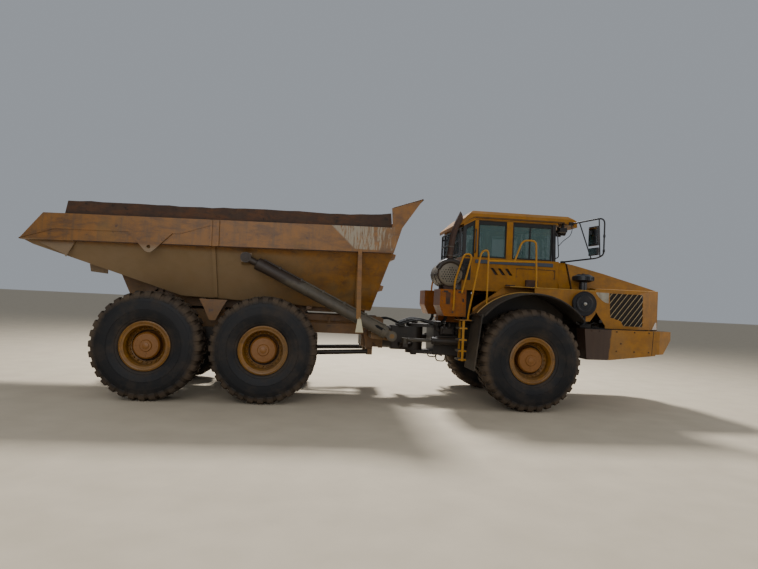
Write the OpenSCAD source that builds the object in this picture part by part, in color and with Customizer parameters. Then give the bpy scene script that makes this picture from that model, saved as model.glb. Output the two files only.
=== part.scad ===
/* [Running gear] */
// Distance from the front axle to the middle axle
wheelbase = 4451; // [4400:1:4520]
// Distance from the middle axle to the rear axle
bogie_spacing = 1820; // [1790:1:1860]
// Distance between the tyres' centre planes on one axle
track = 2534; // [2520:1:2560]
// Radius of a tyre to the tips of its lugs
tyre_r = 865; // [850:1:870]
// Width of a tyre at its widest
tyre_w = 674; // [650:1:680]
// Radius of the rim's flange
flange_r = 394; // [385:1:400]
// Width of the rim over its flanges
rim_w = 600; // [580:1:610]
// Radius of the final drive's cover in the middle of a wheel
hub_r = 210; // [190:1:215]
// Radius of an axle's tube
axle_tube_r = 150; // [130:1:160]

/* [Front unit] */
// Distance from the front axle to the bumper's nose
nose_ahead = 2780; // [2760:1:2800]
// Distance from the front axle back to the steering pivot
pivot_behind = 1760; // [1740:1:1780]
// Height of the front frame's top edge
frame_top = 1420; // [1410:1:1430]
// Outer half width of the frame's rails
rail_out = 370; // [360:1:380]
// Width of one rail
rail_w = 100; // [80:1:110]
// Half width of the cab
cab_half = 800; // [780:1:810]
// Height of the cab's floor
cab_floor = 2020; // [2010:1:2030]
// Height of the window sills
sill_z = 2620; // [2600:1:2640]
// Height of the windows' top edge
window_top = 3290; // [3270:1:3300]
// Thickness of the cab's walls
cab_wall = 50; // [40:1:60]
// Half width of the hood at its side panels
hood_half = 1100; // [1080:1:1120]
// Half width of the hood's narrow rear part
hood_top_half = 840; // [830:1:850]
// Height of the hood's shoulder
shoulder_z = 2150; // [2140:1:2170]
// Thickness of the hood's and the fenders' sheets
sheet = 12; // [8:1:16]
// Half width of the front bumper
bumper_half = 1280; // [1260:1:1300]

/* [Dump body] */
// Half width over the body's upper rails
body_half = 1450; // [1430:1:1470]
// Width of one of the body's upper rails
body_rail_w = 150; // [140:1:170]
// Half width of the floor
floor_half = 840; // [820:1:850]
// Thickness of the body's plates
plate = 16; // [12:1:20]
// Height of the sideboards above the upper rails
board_h = 215; // [150:1:240]
// Distance from the rear axle back to the body's hinge
hinge_behind = 449; // [430:1:470]
// Height of the body's hinge
hinge_z = 1660; // [1650:1:1670]
// Slope of the body's top edge as it rests on the frame, in degrees
body_slope = 1; // [0.9:0.1:1.1]

/* [Cylinders] */
// Radius of a hoist cylinder's barrel
hoist_r = 95; // [85:1:100]
// Radius of a hoist cylinder's rod
hoist_rod_r = 55; // [45:1:60]
// Distance of the hoist cylinders' middle from the body's outer face
hoist_inset = 105; // [104:1:110]
// Radius of a steering cylinder's barrel
steer_r = 62; // [55:1:65]
// Radius of a steering cylinder's rod
steer_rod_r = 30; // [25:1:35]

/* [Hidden] */
$fn = 48;
// Running gap between a pin or a rod and its bore, and between pieces that rest on each other
gap = 0.3;
load_half = body_half - body_rail_w;
hoist_y = body_half - hoist_inset;
// The frame's origin lies below the middle of the whole length
tail_behind = 8270;
front_axle = (tail_behind - nose_ahead) / 2;
middle_axle = -wheelbase;
rear_axle = -wheelbase - bogie_spacing;
axle_z = tyre_r;
tyre_y = track / 2;
tyre_inner = tyre_y - tyre_w / 2;

// name, place along the machine from the front axle, side
WHEELS = [
    ["front_left", 0, 1], ["front_right", 0, -1],
    ["middle_left", middle_axle, 1], ["middle_right", middle_axle, -1],
    ["rear_left", rear_axle, 1], ["rear_right", rear_axle, -1]];
// name, side
SIDES = [["left", 1], ["right", -1]];

// Joint of the two units
pivot = [-pivot_behind, 0, 1080];
pivot_r = 60;
ear_t = 60;
ear_r = 160;
roll_r = 120;
rear_frame_front = -pivot_behind - 660;

// Rear unit's frame
rear_top = 1460;
rear_bottom = 1130;
rear_rail_out = 500;
rear_rail_w = 130;
hinge = [rear_axle - hinge_behind, 0, hinge_z];
hinge_pin_r = 45;
sill_y = 430;
sill_w = 110;
pad_h = 46;

// Dump body in its own plane: u forward and w up from the hinge
rail_low = 810;
rail_high = 1234;
floor_front = [4022, -157];
floor_rear = [820, 6];
tail_low = [-1397, 744];
tail_tip = [-1536, 817];
tail_top = [-1200, rail_high];
wall_top = [4455, rail_high];
guard_tip = [4790, 1717];
guard_back = [4276, 1560];
board_rear = [-905, rail_high];

// Hoist cylinders
hoist_base = [-2370, hoist_y, 1170];
hoist_eye = [-4820, hoist_y, 2350];
hoist_len = norm(hoist_eye - hoist_base);
hoist_angle = atan2(hoist_eye[2] - hoist_base[2], hoist_base[0] - hoist_eye[0]);
hoist_eye_r = 85;
hoist_eye_w = 116;

// Steering cylinders
steer_base = [-600, 600, 1071];
steer_eye = [-2010, 520, 1071];
steer_len = norm(steer_eye - steer_base);
steer_angle = atan2(steer_base[1] - steer_eye[1], steer_base[0] - steer_eye[0]);
steer_eye_r = 60;
steer_eye_h = 60;
steer_pin_r = 25;
steer_barrel_len = 930;
arm_top = steer_eye[2] - steer_r - 8;
arm_t = 66;

// Cab
cab_rear = -1080;
cab_front = 720;
pillar_rear = [-870, -805];
pillar_mid = [-280, -165];
roof_low = window_top + 40;
// The roof and the windows' top edge fall towards the rear behind the rear pillar
rear_fall = 0.56;
function fallen(z, x) = z - max(0, pillar_rear[0] - x) * rear_fall;

// Hood
hood_rear = 950;
hood_wide_from = 1300;
hood_low = 1450;
hood_hinge = [2722, 0, 1463];
split = 20;

// Wheel arches
arch_r = 1150;
flare_out = 1600;
deck_z = 2100;
deck_out = 1150;
house_in = cab_half + 10;

// Air cleaner
cleaner = [hood_wide_from - 260, -1000, 1870];
cleaner_r = 215;
canister_r = 200;
neck_ahead = 60;
neck_r = 68;
bracket_z = 1476;

// Drive line
shaft_r = 40;
shaft_z = 1200;

// Colours
yellow = "#c98a1e";
rail_yellow = "#d9a02a";
dust = "#8d7340";
rust = "#3b2a20";
dark = "#26241f";
rubber = "#1d1c1b";
glass_tint = "#7fa09c";
steel = "#8c8a84";

module from_front_axle() {
    translate([front_axle, 0, 0]) children();
}
module both_sides() {
    children();
    mirror([0, 1, 0]) children();
}
// A plate with its outline in x and z, from y0 to y1
module side_plate(points, y0, y1) {
    translate([0, y1, 0]) rotate([90, 0, 0]) linear_extrude(y1 - y0) polygon(points);
}
// A prism with its outline in y and z, from x0 to x1
module cross_prism(points, x0, x1) {
    translate([x0, 0, 0]) rotate([90, 0, 90]) linear_extrude(x1 - x0) polygon(points);
}
module box(low, high) {
    translate(low) cube(high - low);
}
module along_y(y0, y1, r) {
    translate([0, y1, 0]) rotate([90, 0, 0]) cylinder(h = y1 - y0, r = r);
}
module along_x(x0, x1, r) {
    translate([x0, 0, 0]) rotate([0, 90, 0]) cylinder(h = x1 - x0, r = r);
}
module bar(a, b, r) {
    v = b - a;
    translate(a) rotate([0, acos(v[2] / norm(v)), atan2(v[1], v[0])]) cylinder(h = norm(v), r = r, $fn = 24);
}
// A tube along a list of points: each ring of corners lies in the mitre plane of its bend
tube_sides = 10;
function unit(v) = v / norm(v);
function leg(p, i) = unit(p[i + 1] - p[i]);
function mitre(p, i) = i == len(p) - 1 ? leg(p, i - 1) : i == 0 ? leg(p, 0) : unit(leg(p, i - 1) + leg(p, i));
function first_ring(p, r) = let (
    d = leg(p, 0),
    side = unit(cross(d, abs(d[2]) > 0.9 ? [0, 1, 0] : [0, 0, 1])),
    up = cross(d, side))
    [for (k = [0 : tube_sides - 1]) let (a = 360 * k / tube_sides) p[0] + r * (cos(a) * side + sin(a) * up)];
function ring_at(p, r, i) = i == 0 ? first_ring(p, r) : let (d = leg(p, i - 1), b = mitre(p, i))
    [for (q = ring_at(p, r, i - 1)) q + d * ((p[i] - q) * b) / (d * b)];
module tube(points, r) {
    n = tube_sides;
    last = len(points) - 1;
    polyhedron(
        points = [for (i = [0 : last]) each ring_at(points, r, i)],
        faces = concat(
            [[for (k = [0 : n - 1]) k]],
            [for (i = [0 : last - 1]) for (k = [0 : n - 1])
                [i * n + k, (i + 1) * n + k, (i + 1) * n + (k + 1) % n, i * n + (k + 1) % n]],
            [[for (k = [n - 1 : -1 : 0]) last * n + k]]));
}
// The same points with every corner rounded over a length
function rounded(p, length) = [for (i = [0 : len(p) - 1])
    each (i == 0 || i == len(p) - 1) ? [p[i]] : let (
        a = p[i] + unit(p[i - 1] - p[i]) * min(length, norm(p[i - 1] - p[i]) * 0.45),
        b = p[i] + unit(p[i + 1] - p[i]) * min(length, norm(p[i + 1] - p[i]) * 0.45))
        [for (t = [0, 1 / 3, 2 / 3, 1]) (1 - t) * (1 - t) * a + 2 * t * (1 - t) * p[i] + t * t * b]];

// Wheels
module at_wheel(w) {
    from_front_axle() translate([w[1], 0, 0]) mirror([0, w[2] < 0 ? 1 : 0, 0])
        translate([0, tyre_y, axle_z]) rotate([-90, 0, 0]) children();
}
bead_r = 322;
wall_sides = 24;
lugs = 32;
lug_depth = 27;
lug_pitch = 360 / lugs;
lug_tip = lug_pitch * 0.3;
lug_root = lug_pitch * 0.36;
tread_half = tyre_w / 2 - 100;
// Half of the carcass's section from the bead to the tread: distance of the flat sides, place across the tyre
CARCASS = [
    [bead_r, tyre_w / 2 - 85], [flange_r + 200, tyre_w / 2], [tyre_r - 76, tyre_w / 2 - 20],
    [tyre_r - 34, tread_half - 1]];
function flat_ring(r, n) = [for (i = [0 : n - 1]) let (a = 360 * (i + 0.5) / n) r / cos(180 / n) * [cos(a), sin(a)]];
function lug_ring() = [for (i = [0 : lugs - 1]) for (c = [
    [-lug_root, tyre_r - lug_depth], [-lug_tip, tyre_r / cos(lug_tip)], [lug_tip, tyre_r / cos(lug_tip)],
    [lug_root, tyre_r - lug_depth]])
    c[1] * [cos(i * lug_pitch + c[0]), sin(i * lug_pitch + c[0])]];
module carcass() {
    n = wall_sides;
    last = len(CARCASS) - 1;
    section = concat(CARCASS, [for (i = [last : -1 : 0]) [CARCASS[i][0], -CARCASS[i][1]]]);
    rings = len(section);
    polyhedron(
        points = [for (c = section) for (q = flat_ring(c[0], n)) [q[0], q[1], c[1]]],
        faces = [for (i = [0 : rings - 1]) for (k = [0 : n - 1]) let (j = (i + 1) % rings, m = (k + 1) % n)
            [i * n + k, i * n + m, j * n + m, j * n + k]]);
}
module tyre(w) {
    color(rubber) at_wheel(w) {
        carcass();
        // Tread with its lugs, as a ring sunk into the carcass
        difference() {
            translate([0, 0, -tread_half]) linear_extrude(2 * tread_half) polygon(lug_ring());
            translate([0, 0, -tyre_w]) linear_extrude(2 * tyre_w) polygon(flat_ring(flange_r + 230, wall_sides));
        }
    }
}
spindle_r = 90;
spindle_end = tyre_y + 30;
hub_in = tyre_y - 110;
disc_in = hub_r + 38;
disc_out = 300;
module rim(w) {
    half = rim_w / 2;
    well = bead_r - gap;
    color(yellow) at_wheel(w) difference() {
        rotate_extrude($fn = 96) polygon([
            [0, hub_in - tyre_y], [hub_r, hub_in - tyre_y], [hub_r, -30], [disc_in + 18, -30], [disc_in + 18, 60],
            [disc_out, 60], [disc_out, -half + 8], [flange_r - 20, -half], [flange_r, -half + 8],
            [flange_r, -half + 20], [well, -half + 20], [well, half - 20], [flange_r, half - 20],
            [flange_r, half - 8], [flange_r - 20, half], [flange_r - 44, half - 10], [well, half - 12],
            [disc_out + 8, half - 50], [disc_out, half - 70], [disc_out, 130], [disc_out - 12, 118],
            [disc_in + 12, 100], [disc_in, 96], [disc_in, 20], [hub_r, 10], [hub_r, 190], [hub_r - 22, 212],
            [96, 214], [84, 232], [0, 234]]);
        translate([0, 0, hub_in - tyre_y - 1]) cylinder(h = spindle_end - hub_in + 1 + gap, r = spindle_r + gap);
    }
}

// Axles
module axle(x, r) {
    translate([x, 0, axle_z]) {
        along_y(-hub_in + gap, hub_in - gap, r);
        along_y(-spindle_end, spindle_end, spindle_r);
        rotate([90, 0, 0]) rotate_extrude($fn = 64) polygon([
            [0, -300], [r + 10, -300], [r + 60, -190], [250, -120], [270, -60],
            [270, 60], [250, 120], [r + 60, 190], [r + 10, 300], [0, 300]]);
        along_x(-330, 330, 95);
    }
}
module front_axle_tube() {
    color(dark) from_front_axle() {
        axle(0, axle_tube_r);
        both_sides() box([-70, rail_out - rail_w + 10, axle_z + 100], [70, rail_out - 10, arch_under - gap]);
    }
}
arch_under = 1110;
module rear_axles() {
    color(dark) from_front_axle() {
        axle(middle_axle, axle_tube_r);
        axle(rear_axle, axle_tube_r);
        translate([0, 0, axle_z]) along_x(rear_axle + 300, middle_axle - 300, shaft_r);
    }
}

// Bogie beams between the two rear axles, and the links that hold the axles to the frame
beam_in = 620;
beam_out = 740;
beam_pivot_z = 1010;
module bogie_beams() {
    mid = (middle_axle + rear_axle) / 2;
    color(dark) from_front_axle() both_sides() difference() {
        union() {
            side_plate([
                [rear_axle - 60, axle_z - 190], [mid, axle_z - 60], [middle_axle + 60, axle_z - 190],
                [middle_axle + 190, axle_z - 60], [middle_axle + 190, axle_z + 60], [middle_axle + 60, axle_z + 185],
                [mid + 180, beam_pivot_z + 150], [mid - 180, beam_pivot_z + 150], [rear_axle - 60, axle_z + 185],
                [rear_axle - 190, axle_z + 60], [rear_axle - 190, axle_z - 60]], beam_in, beam_out);
            translate([mid, 0, beam_pivot_z]) along_y(beam_in - 19, beam_out + 20, 90);
            bar([middle_axle + 170, beam_in + 50, axle_z - 110], [rear_frame_front - 280, beam_in - 70, 830], 42);
        }
        for (x = [middle_axle, rear_axle]) translate([x, 0, axle_z])
            along_y(beam_in - 1, beam_out + 1, axle_tube_r + gap);
        translate([mid, 0, beam_pivot_z]) along_y(beam_in - 20, beam_out + 21, 50 + gap);
    }
}

// Rear frame: two box rails, the collar for the joint's tube, and the cross members
collar_r = 205;
tow_r = 30;
pin_bore = hinge_pin_r + gap;
deflector_y = 1000;
module rear_frame() {
    mid = (middle_axle + rear_axle) / 2;
    rail_in = rear_rail_out - rear_rail_w;
    tail = hinge[0] - 130;
    color(yellow) from_front_axle() difference() {
        union() {
            both_sides() {
                side_plate([
                    [tail, rear_bottom + 60], [tail + 200, rear_bottom], [rear_frame_front - 300, rear_bottom],
                    [rear_frame_front - 60, 900], [rear_frame_front, 900], [rear_frame_front, rear_top - 40],
                    [rear_frame_front - 60, rear_top], [hinge[0] + 300, rear_top], [hinge[0] + 60, hinge_z + 80],
                    [hinge[0] - 60, hinge_z + 80], [tail, rear_top - 20]], rail_in, rear_rail_out);
                // Outrigger of a hoist cylinder, with its pin
                side_plate([
                    [hoist_base[0] - 330, 1110], [hoist_base[0] - 40, 1085], [hoist_base[0] + 60, 1110],
                    [hoist_base[0] + 60, 1230], [hoist_base[0] - 40, 1270], [hoist_base[0] - 330, 1260]],
                    rear_rail_out - 1, hoist_y - hoist_r - 10);
                side_plate([
                    [hoist_base[0] - 65, 1100], [hoist_base[0] - 40, 1090], [hoist_base[0] + 60, 1112],
                    [hoist_base[0] + 60, 1228], [hoist_base[0] - 20, 1255], [hoist_base[0] - 65, 1225]],
                    hoist_y - hoist_r - 11, hoist_y - hoist_eye_w / 2 - 2);
                translate([hoist_base[0], 0, hoist_base[2]])
                    along_y(hoist_y - hoist_eye_w / 2 - 3, hoist_y + hoist_eye_w / 2 + 17, hoist_pin_r);
                // Bracket and pin of a bogie beam
                side_plate([
                    [mid - 210, rear_top - 60], [mid + 210, rear_top - 60], [mid + 120, beam_pivot_z - 70],
                    [mid - 120, beam_pivot_z - 70]], rear_rail_out - 1, beam_in - 20);
                translate([mid, 0, beam_pivot_z]) along_y(beam_in - 21, beam_out + 30, 50);
                // Mud deflector between the rear tyres, on its arm
                box([mid - 60, rear_rail_out - 1, rear_top - 60], [mid + 60, deflector_y + 1, rear_top - 46]);
                side_plate([
                    [mid - 230, 1640], [mid + 230, 1640], [mid + 150, 1500], [mid + 50, 1290], [mid - 50, 1290],
                    [mid - 150, 1500]], deflector_y, deflector_y + 12);
                // Lower bracket of a link
                side_plate([
                    [rear_frame_front - 360, rear_bottom + 60], [rear_frame_front - 180, rear_bottom + 60],
                    [rear_frame_front - 180, 770], [rear_frame_front - 279, 770]], rail_in, beam_in - 115);
                box([rear_frame_front - 272, rail_in, 780], [rear_frame_front - 190, beam_in - 30, 880]);
                // Pads under the body's sills
                for (x = [rear_frame_front - 420, mid, middle_axle + 500])
                    box([x - 120, sill_y - 50, rear_top - 1], [x + 120, sill_y + 50, rear_top + pad_h]);
            }
            translate([0, 0, pivot[2]]) along_x(rear_frame_front - 380, rear_frame_front, collar_r);
            box([rear_frame_front - 380, -rail_in - 1, 910], [rear_frame_front - 40, rail_in + 1, rear_top - 20]);
            for (x = [middle_axle + 700, mid, rear_axle - 60])
                box([x - 60, -rail_in - 1, rear_bottom + 40], [x + 60, rail_in + 1, rear_top - 40]);
            box([tail, -rail_in - 1, rear_bottom + 90], [tail + 40, rail_in + 1, rear_top - 40]);
            // Towing lug, and a lamp bracket with two lamps on each side
            box([tail - 110, -80, 1250], [tail + 1, 80, 1300]);
            both_sides() {
                box([tail - 36, rail_in - 110, 1310], [tail + 1, rear_rail_out - 10, 1430]);
                for (y = [rail_in - 45, rear_rail_out - 75])
                    translate([0, y, 1370]) along_x(tail - 50, tail - 35, 46);
            }
        }
        translate([tail - 55, 0, 1240]) cylinder(h = 70, r = tow_r);
        translate([0, 0, pivot[2]]) along_x(rear_frame_front - 400, rear_frame_front + 1, roll_r + gap);
        both_sides() translate([hinge[0], 0, hinge_z]) along_y(rail_in - 1, rear_rail_out + 1, pin_bore);
    }
}

// Joint: a block between the front frame's ears, with the tube on which the rear unit rolls
module hitch() {
    low = pivot[2] - 219;
    high = pivot[2] + 219;
    color(dark) from_front_axle() {
        translate([pivot[0], 0, low]) cylinder(h = high - low, r = ear_r);
        box([rear_frame_front + 200, -ear_r, low], [pivot[0], ear_r, high]);
        translate([0, 0, pivot[2]]) along_x(rear_frame_front + gap, rear_frame_front + 201, collar_r);
        translate([0, 0, pivot[2]]) along_x(rear_frame_front - 380, rear_frame_front + 1, roll_r);
        translate([pivot[0], 0, low - ear_t - 40]) cylinder(h = high - low + 2 * ear_t + 80, r = pivot_r);
        // Arms for the steering cylinders
        both_sides() translate([0, 0, arm_top - arm_t]) linear_extrude(arm_t) polygon([
            [pivot[0] - 40, ear_r - 30], [pivot[0] - 330, ear_r - 30], [steer_eye[0] - 80, steer_eye[1] + 10],
            [steer_eye[0] - 45, steer_eye[1] + 65], [steer_eye[0] + 45, steer_eye[1] + 65],
            [steer_eye[0] + 80, steer_eye[1] + 10]]);
    }
}

// Steering cylinders, drawn along -X from their base pins
module at_steer(s) {
    from_front_axle() mirror([0, s[1] < 0 ? 1 : 0, 0]) translate(steer_base) rotate([0, 0, steer_angle]) children();
}
module steer_barrel(s) {
    color(dark) at_steer(s) difference() {
        union() {
            translate([0, 0, -steer_eye_h / 2]) cylinder(h = steer_eye_h, r = steer_eye_r);
            box([-90, -40, -steer_eye_h / 2], [0, 40, steer_eye_h / 2]);
            along_x(-steer_barrel_len, -80, steer_r);
        }
        translate([0, 0, -steer_eye_h]) cylinder(h = 2 * steer_eye_h, r = steer_pin_r + gap);
        along_x(-steer_barrel_len - 1, -85, steer_rod_r + gap);
    }
}
module steer_rod(s) {
    color(steel) at_steer(s) {
        along_x(-steer_len + 40, -480, steer_rod_r);
        translate([-steer_len, 0, arm_top + 1 - steer_eye[2]])
            cylinder(h = steer_eye[2] + steer_eye_h / 2 - arm_top - 1, r = steer_eye_r);
    }
}

// Dump body, drawn in its own plane from the hinge
module in_body() {
    from_front_axle() translate(hinge) rotate([0, -body_slope, 0]) children();
}
belly = [[floor_half, floor_front[1]], [load_half + 20, rail_low]];
function belly_y(w) = floor_half + (load_half + 20 - floor_half) * (w - floor_front[1]) / (rail_low - floor_front[1]);
module body_outline(inset, rise, back) {
    side_plate([
        [tail_low[0] - back, floor_w(tail_low[0] - back) + inset], [floor_rear[0], floor_rear[1] + inset],
        [floor_front[0] - inset, floor_front[1] + inset], [wall_u(rail_high + rise) - inset, rail_high + rise],
        [tail_top[0] - back, rail_high + rise], [tail_tip[0] - back, tail_tip[1]]],
        -body_half - 100, body_half + 100);
}
module body_section() {
    cross_prism([
        [-floor_half, floor_front[1] - 50], [floor_half, floor_front[1] - 50], [floor_half, floor_front[1]],
        [load_half + 20, rail_low], [body_half, rail_low], [body_half, rail_high + 1], [-body_half, rail_high + 1],
        [-body_half, rail_low], [-load_half - 20, rail_low], [-floor_half, floor_front[1]]],
        tail_tip[0] - 300, guard_tip[0] + 100);
}
module load_section() {
    inner = load_half;
    cross_prism([
        [-floor_half + plate, floor_front[1] - 50], [floor_half - plate, floor_front[1] - 50],
        [floor_half - plate + 2, floor_front[1]], [inner, rail_low - 8], [inner, rail_high + 400],
        [-inner, rail_high + 400], [-inner, rail_low - 8], [-floor_half + plate - 2, floor_front[1]]],
        tail_tip[0] - 400, guard_tip[0] + 100);
}
module dump_body() {
    color(dust) in_body() {
        difference() {
            intersection() {
                body_section();
                body_outline(0, 0, 0);
            }
            intersection() {
                load_section();
                body_outline(plate, 300, 600);
            }
            // The upper rails are hollow
            both_sides() box([tail_top[0] + 40, load_half + plate, rail_low + plate],
                [wall_top[0] - 120, body_half - plate, rail_high - plate]);
        }
        // Spill guard above the front wall, with its side wings
        side_plate([
            [wall_top[0] - plate, wall_top[1]], wall_top, guard_tip, [guard_tip[0] - plate, guard_tip[1] + 8],
            [wall_top[0] - plate - 6, wall_top[1] + 12]], -body_half, body_half);
        both_sides() {
            side_plate([
                [wall_top[0] - plate, wall_top[1]], [guard_tip[0] - plate, guard_tip[1]], guard_back,
                [guard_back[0] + 20, rail_high]], body_half - plate, body_half);
            // Raised upper band on the rail, from the tail to the post
            side_plate([
                [tail_tip[0] + 8, tail_tip[1] + 8], [-1020, 985], [880, 985], [rib_u[0] - 46, 1137],
                [rib_u[0] - 46, rail_high - 2], [tail_top[0] + 4, rail_high - 2]], body_half - 1, body_half + band);
        }
    }
}
band = 12;
module sideboards() {
    color(rust) in_body() both_sides() side_plate([
        [board_rear[0], rail_high + gap], [guard_back[0] + 15, rail_high + gap],
        [guard_back[0] - 5, rail_high + board_h + 35], [board_rear[0] + 40, rail_high + board_h]],
        load_half + 20, body_half - 60);
}

// Hoist cylinders, drawn along -X from their base pins
module at_hoist(s) {
    from_front_axle() mirror([0, s[1] < 0 ? 1 : 0, 0]) translate(hoist_base) rotate([0, hoist_angle, 0]) children();
}
hoist_barrel_len = hoist_len - hoist_eye_r - 134;
hoist_pin_r = 40;
module hoist_barrel(s) {
    half = hoist_eye_w / 2;
    color(steel) at_hoist(s) difference() {
        union() {
            along_y(-half, half, hoist_eye_r);
            box([-110, -half, -60], [0, half, 60]);
            along_x(-hoist_barrel_len, -100, hoist_r);
            along_x(-hoist_barrel_len - 10, -hoist_barrel_len + 90, hoist_r + 8);
            // Oil pipe along the top
            bar([-180, 0, hoist_r + 14], [-hoist_barrel_len + 60, 0, hoist_r + 14], 15);
            for (x = [-180, -hoist_barrel_len + 75]) bar([x, 0, hoist_r - 10], [x, 0, hoist_r + 30], 20);
        }
        along_y(-half - 1, half + 1, hoist_pin_r + gap);
        along_x(-hoist_barrel_len - 11, -110, hoist_rod_r + gap);
    }
}
module hoist_rod(s) {
    half = hoist_eye_w / 2;
    color(steel) at_hoist(s) {
        along_x(-hoist_len + 20, -130, hoist_rod_r);
        translate([-hoist_len, 0, 0]) along_y(-half, half, hoist_eye_r);
    }
}

// Sills, bolsters and hinge ears under the body, then the stiffeners, lugs and posts beside it
rib_u = [1390, 3765];
rib_t = 60;
tail_slope = (tail_low[1] - floor_rear[1]) / (tail_low[0] - floor_rear[0]);
floor_slope = (floor_front[1] - floor_rear[1]) / (floor_front[0] - floor_rear[0]);
wall_slope = (wall_top[0] - floor_front[0]) / (wall_top[1] - floor_front[1]);
function sill_low(u) = (rear_top + pad_h + gap - hinge_z) / cos(body_slope) - u * tan(body_slope);
function floor_w(u) = floor_rear[1] + (u - floor_rear[0]) * (u < floor_rear[0] ? tail_slope : floor_slope);
function wall_u(w) = floor_front[0] + (w - floor_front[1]) * wall_slope;
function in_plane(p) = [
    (p[0] - hinge[0]) * cos(body_slope) + (p[2] - hinge[2]) * sin(body_slope),
    (p[2] - hinge[2]) * cos(body_slope) - (p[0] - hinge[0]) * sin(body_slope)];
hoist_at = in_plane(hoist_eye);
bracket_y = hoist_y - hoist_eye_w / 2 - 2;
function belly_w(y) = floor_front[1] + (y - floor_half) * (rail_low - floor_front[1]) / (load_half + 20 - floor_half);
lug_hole = [410, 760];
lug_r = 30;
guide_in = hoist_y + hoist_r + 13;
// A stiffener up the sloping side, between two heights
module side_rib(u, w0, w1, t, out) {
    cross_prism([
        [belly_y(w0) + gap, w0], [belly_y(w0) + out, w0], [belly_y(w1) + out, w1], [belly_y(w1) + gap, w1]],
        u - t / 2, u + t / 2);
}
module body_sills() {
    ear_in = rear_rail_out - rear_rail_w - 12;
    ear_out = rear_rail_out + 12;
    color(yellow) in_body() {
        both_sides() {
            // Sill that rests on the frame's pads, split where the floor bends up to the tail
            for (u = [[340, floor_rear[0]], [floor_rear[0] + gap, floor_front[0] - 70]]) side_plate([
                [u[0], floor_w(u[0]) - gap], [u[1], floor_w(u[1]) - gap], [u[1], sill_low(u[1])], [u[0], sill_low(u[0])]],
                sill_y - sill_w / 2, sill_y + sill_w / 2);
            // Hinge ears on both sides of the frame's lug
            for (y = [[ear_in - 40, ear_in], [ear_out, ear_out + 40]]) side_plate([
                [-100, -60], [-50, -110], [50, -110], [100, -60], [380, floor_w(380) - gap],
                [-300, floor_w(-300) - gap]], y[0], y[1]);
            along_y(ear_in - 1, ear_out + 1, hinge_pin_r);
            box([341, ear_in - 40, floor_w(340) - 130], [420, ear_out + 40, floor_w(420) - gap - 1]);
        }
        // Bolsters under the floor
        for (u = [1150, 2050, 2950, 3700]) side_plate([
            [u - 50, floor_w(u - 50) - gap], [u + 50, floor_w(u + 50) - gap], [u + 40, floor_w(u) - 65],
            [u - 40, floor_w(u) - 65]], -floor_half + 20, floor_half - 20);
    }
}
module body_rails() {
    color(yellow) in_body() {
        both_sides() {
            // Stiffeners and the hoist cylinder's bracket on the sloping side
            side_rib(rib_u[1], floor_front[1] + 20, rail_low - gap, rib_t, 60);
            side_rib(rib_u[0], floor_w(rib_u[0]) + 20, rail_low - gap, rib_t, 45);
            cross_prism([
                [belly_y(hoist_at[1] - 120) + gap, hoist_at[1] - 120],
                [bracket_y, hoist_at[1] - 70], [bracket_y, belly_w(bracket_y - gap)]],
                hoist_at[0] - 85, hoist_at[0] + 85);
            // Lifting lug and post on the upper rail
            difference() {
                side_plate([[90, 984], [765, 984], [470, 690], [440, 672], [390, 672], [350, 695]],
                    body_half + gap, body_half + 28);
                translate([lug_hole[0], 0, lug_hole[1]]) along_y(body_half - 1, body_half + 30, lug_r);
            }
            box([rib_u[0] - 45, body_half + gap, rail_low], [rib_u[0] - 10, body_half + 30, rail_high - 10]);
            box([rib_u[0] + 60, body_half + gap, rail_low], [rib_u[0] + 100, body_half + 30, rail_high - 10]);
            box([rib_u[0] - 11, body_half + gap, rail_low], [rib_u[0] + 61, body_half + 8, rail_high - 10]);
            // Guide bar outside the hoist cylinder, from the rail's lower edge
            side_plate([
                [rib_u[1] - 32, 860], [rib_u[1] + 32, 860], [rib_u[1] + 45, -290], [rib_u[1] - 32, -290]],
                guide_in, guide_in + 14);
            box([rib_u[1] - 30, body_half + gap, 820], [rib_u[1] + 30, guide_in + 1, 855]);
            // Rear cheek plate
            side_plate([
                [tail_low[0] + 30, rail_low - gap], [-745, rail_low - gap], [-880, 560], [-905, 600]],
                load_half + 30, load_half + 45);
            // Bracket under the tail
            side_plate([
                [-720, floor_w(-720) - gap], [-420, floor_w(-420) - gap], [-420, floor_w(-420) - 90],
                [-690, floor_w(-690) - 150]], floor_half - 40, floor_half - 20);
        }
        // Ribs across the front wall
        for (w = [230, 760]) side_plate([
            [wall_u(w - 60) + gap, w - 60], [wall_u(w - 40) + 70, w - 40], [wall_u(w + 40) + 70, w + 40],
            [wall_u(w + 60) + gap, w + 60]], -belly_y(w) + 40, belly_y(w) - 40);
    }
}

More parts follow.
